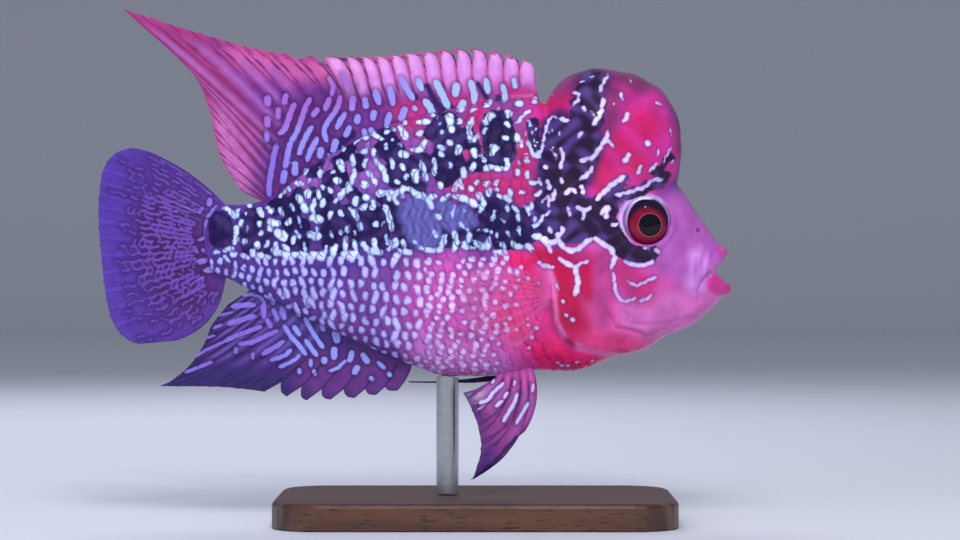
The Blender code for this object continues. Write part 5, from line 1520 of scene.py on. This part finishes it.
eyeFinish = glassEye("blownGlassEye")
for side, word in ((-1, "Right"), (1, "Left")):
    x, y, z = eye["centre"]
    dome = ballForm((0, 0, 0), (1 / mm, 1 / mm, 1 / mm), 96)
    for v in dome.verts:        # flatter in front and fuller at its rim than a ball
        out = min(1.0, math.hypot(v.co.x, v.co.z))
        high = (1 - out ** eye["fullness"]) ** (1 / eye["fullness"])
        v.co = Vector((x + eye["radius"] * v.co.x,
                       side * y + math.copysign(eye["depth"] * high, v.co.y),
                       z + eye["radius"] * v.co.z)) * mm
    ball = toMesh(dome, "eye" + word, eyeFinish)
    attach(ball, "root")
    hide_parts("eye_" + word.lower())

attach(skin, "root")
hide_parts("head", "nuchal_hump", "trunk", "tail_stem")
for piece in flanks.values():
    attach(piece, "root")


def woodFinish():
    # oiled walnut: open pores drawn out along the grain, and a soft, low sheen
    material, tree, shader = newMaterial("oiledWalnut", Roughness=0.42, Coat_Weight=0.2,
                                         Coat_Roughness=0.3)
    place = addNode(tree, "ShaderNodeTexCoord").outputs["Object"]
    along = addNode(tree, "ShaderNodeMapping", {"Vector": place, "Scale": (0.12, 1.0, 1.0),
                                                "Rotation": (0, 0, 0.05)}).outputs["Vector"]
    drift = addNode(tree, "ShaderNodeTexNoise", {"Vector": along, "Scale": 60,
                                                 "Detail": 3.0}).outputs["Fac"]
    rings = addNode(tree, "ShaderNodeTexWave", {"Vector": along, "Scale": 90, "Distortion": 7.0,
                                                "Detail": 3.0, "Detail Scale": 1.2},
                    bands_direction="Y").outputs["Fac"]
    figure = addNode(tree, "ShaderNodeMath", {0: rings, 1: drift},
                     operation="MULTIPLY").outputs["Value"]
    colour = addNode(tree, "ShaderNodeMix", {0: figure, 6: hexColour("#38221a"),
                                             7: hexColour("#6c4630")}, data_type="RGBA").outputs[2]
    pores = addNode(tree, "ShaderNodeTexNoise", {"Vector": along, "Scale": 2600,
                                                 "Detail": 2.0}).outputs["Fac"]
    deep = addNode(tree, "ShaderNodeMapRange", {"Value": pores, "From Min": 0.56,
                                                 "From Max": 0.7}).outputs["Result"]
    colour = addNode(tree, "ShaderNodeMix", {0: deep, 6: colour, 7: hexColour("#1c100b")},
                     data_type="RGBA").outputs[2]
    tree.links.new(colour, shader.inputs["Base Color"])
    relief = addNode(tree, "ShaderNodeBump", {"Height": pores, "Strength": 0.25,
                                              "Distance": 0.08 * mm}).outputs["Normal"]
    tree.links.new(relief, shader.inputs["Normal"])
    return material


def steelFinish():
    # turned stainless steel: fine marks run round the rod
    material, tree, shader = newMaterial("turnedStainlessSteel", Metallic=1.0, Roughness=0.28)
    place = addNode(tree, "ShaderNodeTexCoord").outputs["Object"]
    turned = addNode(tree, "ShaderNodeMapping", {"Vector": place,
                                                 "Scale": (0.05, 0.05, 1.0)}).outputs["Vector"]
    marksRound = addNode(tree, "ShaderNodeTexNoise", {"Vector": turned, "Scale": 6000,
                                                      "Detail": 2.0}).outputs["Fac"]
    colour = addNode(tree, "ShaderNodeMix", {0: marksRound, 6: hexColour("#a9abae"),
                                             7: hexColour("#cfd1d3")}, data_type="RGBA").outputs[2]
    tree.links.new(colour, shader.inputs["Base Color"])
    relief = addNode(tree, "ShaderNodeBump", {"Height": marksRound, "Strength": 0.2,
                                              "Distance": 0.02 * mm}).outputs["Normal"]
    tree.links.new(relief, shader.inputs["Normal"])
    return material


for node, finish in (("stand_base", woodFinish()), ("stand_rod", steelFinish())):
    for slot in bpy.data.objects[node].material_slots:
        slot.material = finish

stage = {
    "floor": "#c9ccd6", "world": "#dfe4f2", "worldStrength": 0.42,
    "width": 6.0, "length": 4.6, "front": -1.6, "bendAt": 1.6, "bend": 0.5,    # the card, metres
    "lens": 100.0, "sensor": 36.0, "aim": (0.0, 0.0, 0.055),
    # name, place, size and power of each lamp, and its colour
    "lamps": [("key", (0.02, -0.44, 0.5), 0.3, 2.5, "#ffffff"),
              ("fill", (-0.38, -0.36, 0.18), 0.4, 1.2, "#e4e6ff"),
              ("front", (0.3, -0.42, 0.03), 0.3, 0.7, "#ffeef8"),
              ("glint", (0.06, -0.5, 0.46), 0.04, 0.5, "#ffffff"),
              ("rim", (-0.1, 0.4, 0.42), 0.4, 1.8, "#eef2ff")],
}


def buildStage():
    # a pale sweep of card that runs up behind the stand
    bendAt, bend = stage["bendAt"], stage["bend"]
    bm = bmesh.new()
    bmesh.ops.create_grid(bm, x_segments=2, y_segments=80, size=0.5)
    for v in bm.verts:
        run = (v.co.y + 0.5) * stage["length"] + stage["front"]
        turn = min(max(run - bendAt, 0) / bend, math.pi / 2)
        y = min(run, bendAt) + bend * math.sin(turn)
        z = bend * (1 - math.cos(turn)) + max(0.0, run - bendAt - bend * math.pi / 2)
        v.co = (v.co.x * stage["width"], y, z - 0.0002)
    bmesh.ops.recalc_face_normals(bm, faces=bm.faces)
    card, _, shader = newMaterial("mattCard", Roughness=0.8)
    shader.inputs["Base Color"].default_value = hexColour(stage["floor"])
    floor = toMesh(bm, "floor", card)

    world = bpy.data.worlds.new("studio")
    bpy.context.scene.world = world
    world.use_nodes = True
    light = world.node_tree.nodes["Background"]
    light.inputs["Color"].default_value = hexColour(stage["world"])
    light.inputs["Strength"].default_value = stage["worldStrength"]
    for name, at, size, power, code in stage["lamps"]:
        lamp = bpy.data.lights.new(name, "AREA")
        lamp.shape, lamp.size, lamp.energy = "DISK", size, power
        lamp.color = hexColour(code)[:3]
        holder = bpy.data.objects.new(name, lamp)
        holder.visible_glossy = name == "glint"     # wet skin shows the small light only
        holder.location = at
        aim = Vector(stage["aim"]) - Vector(at)
        holder.rotation_euler = aim.to_track_quat("-Z", "Y").to_euler()
        bpy.context.collection.objects.link(holder)

    lens = bpy.data.cameras.new("camera")
    lens.lens, lens.sensor_width = stage["lens"], stage["sensor"]
    holder = bpy.data.objects.new("camera", lens)
    holder.location = Vector(photo["camera"]) * mm
    holder.rotation_euler = (math.pi / 2, 0, 0)
    bpy.context.collection.objects.link(holder)
    bpy.context.scene.camera = holder
    bpy.context.scene.view_settings.view_transform = "Standard"


buildStage()
print("stage, lamps and camera set")
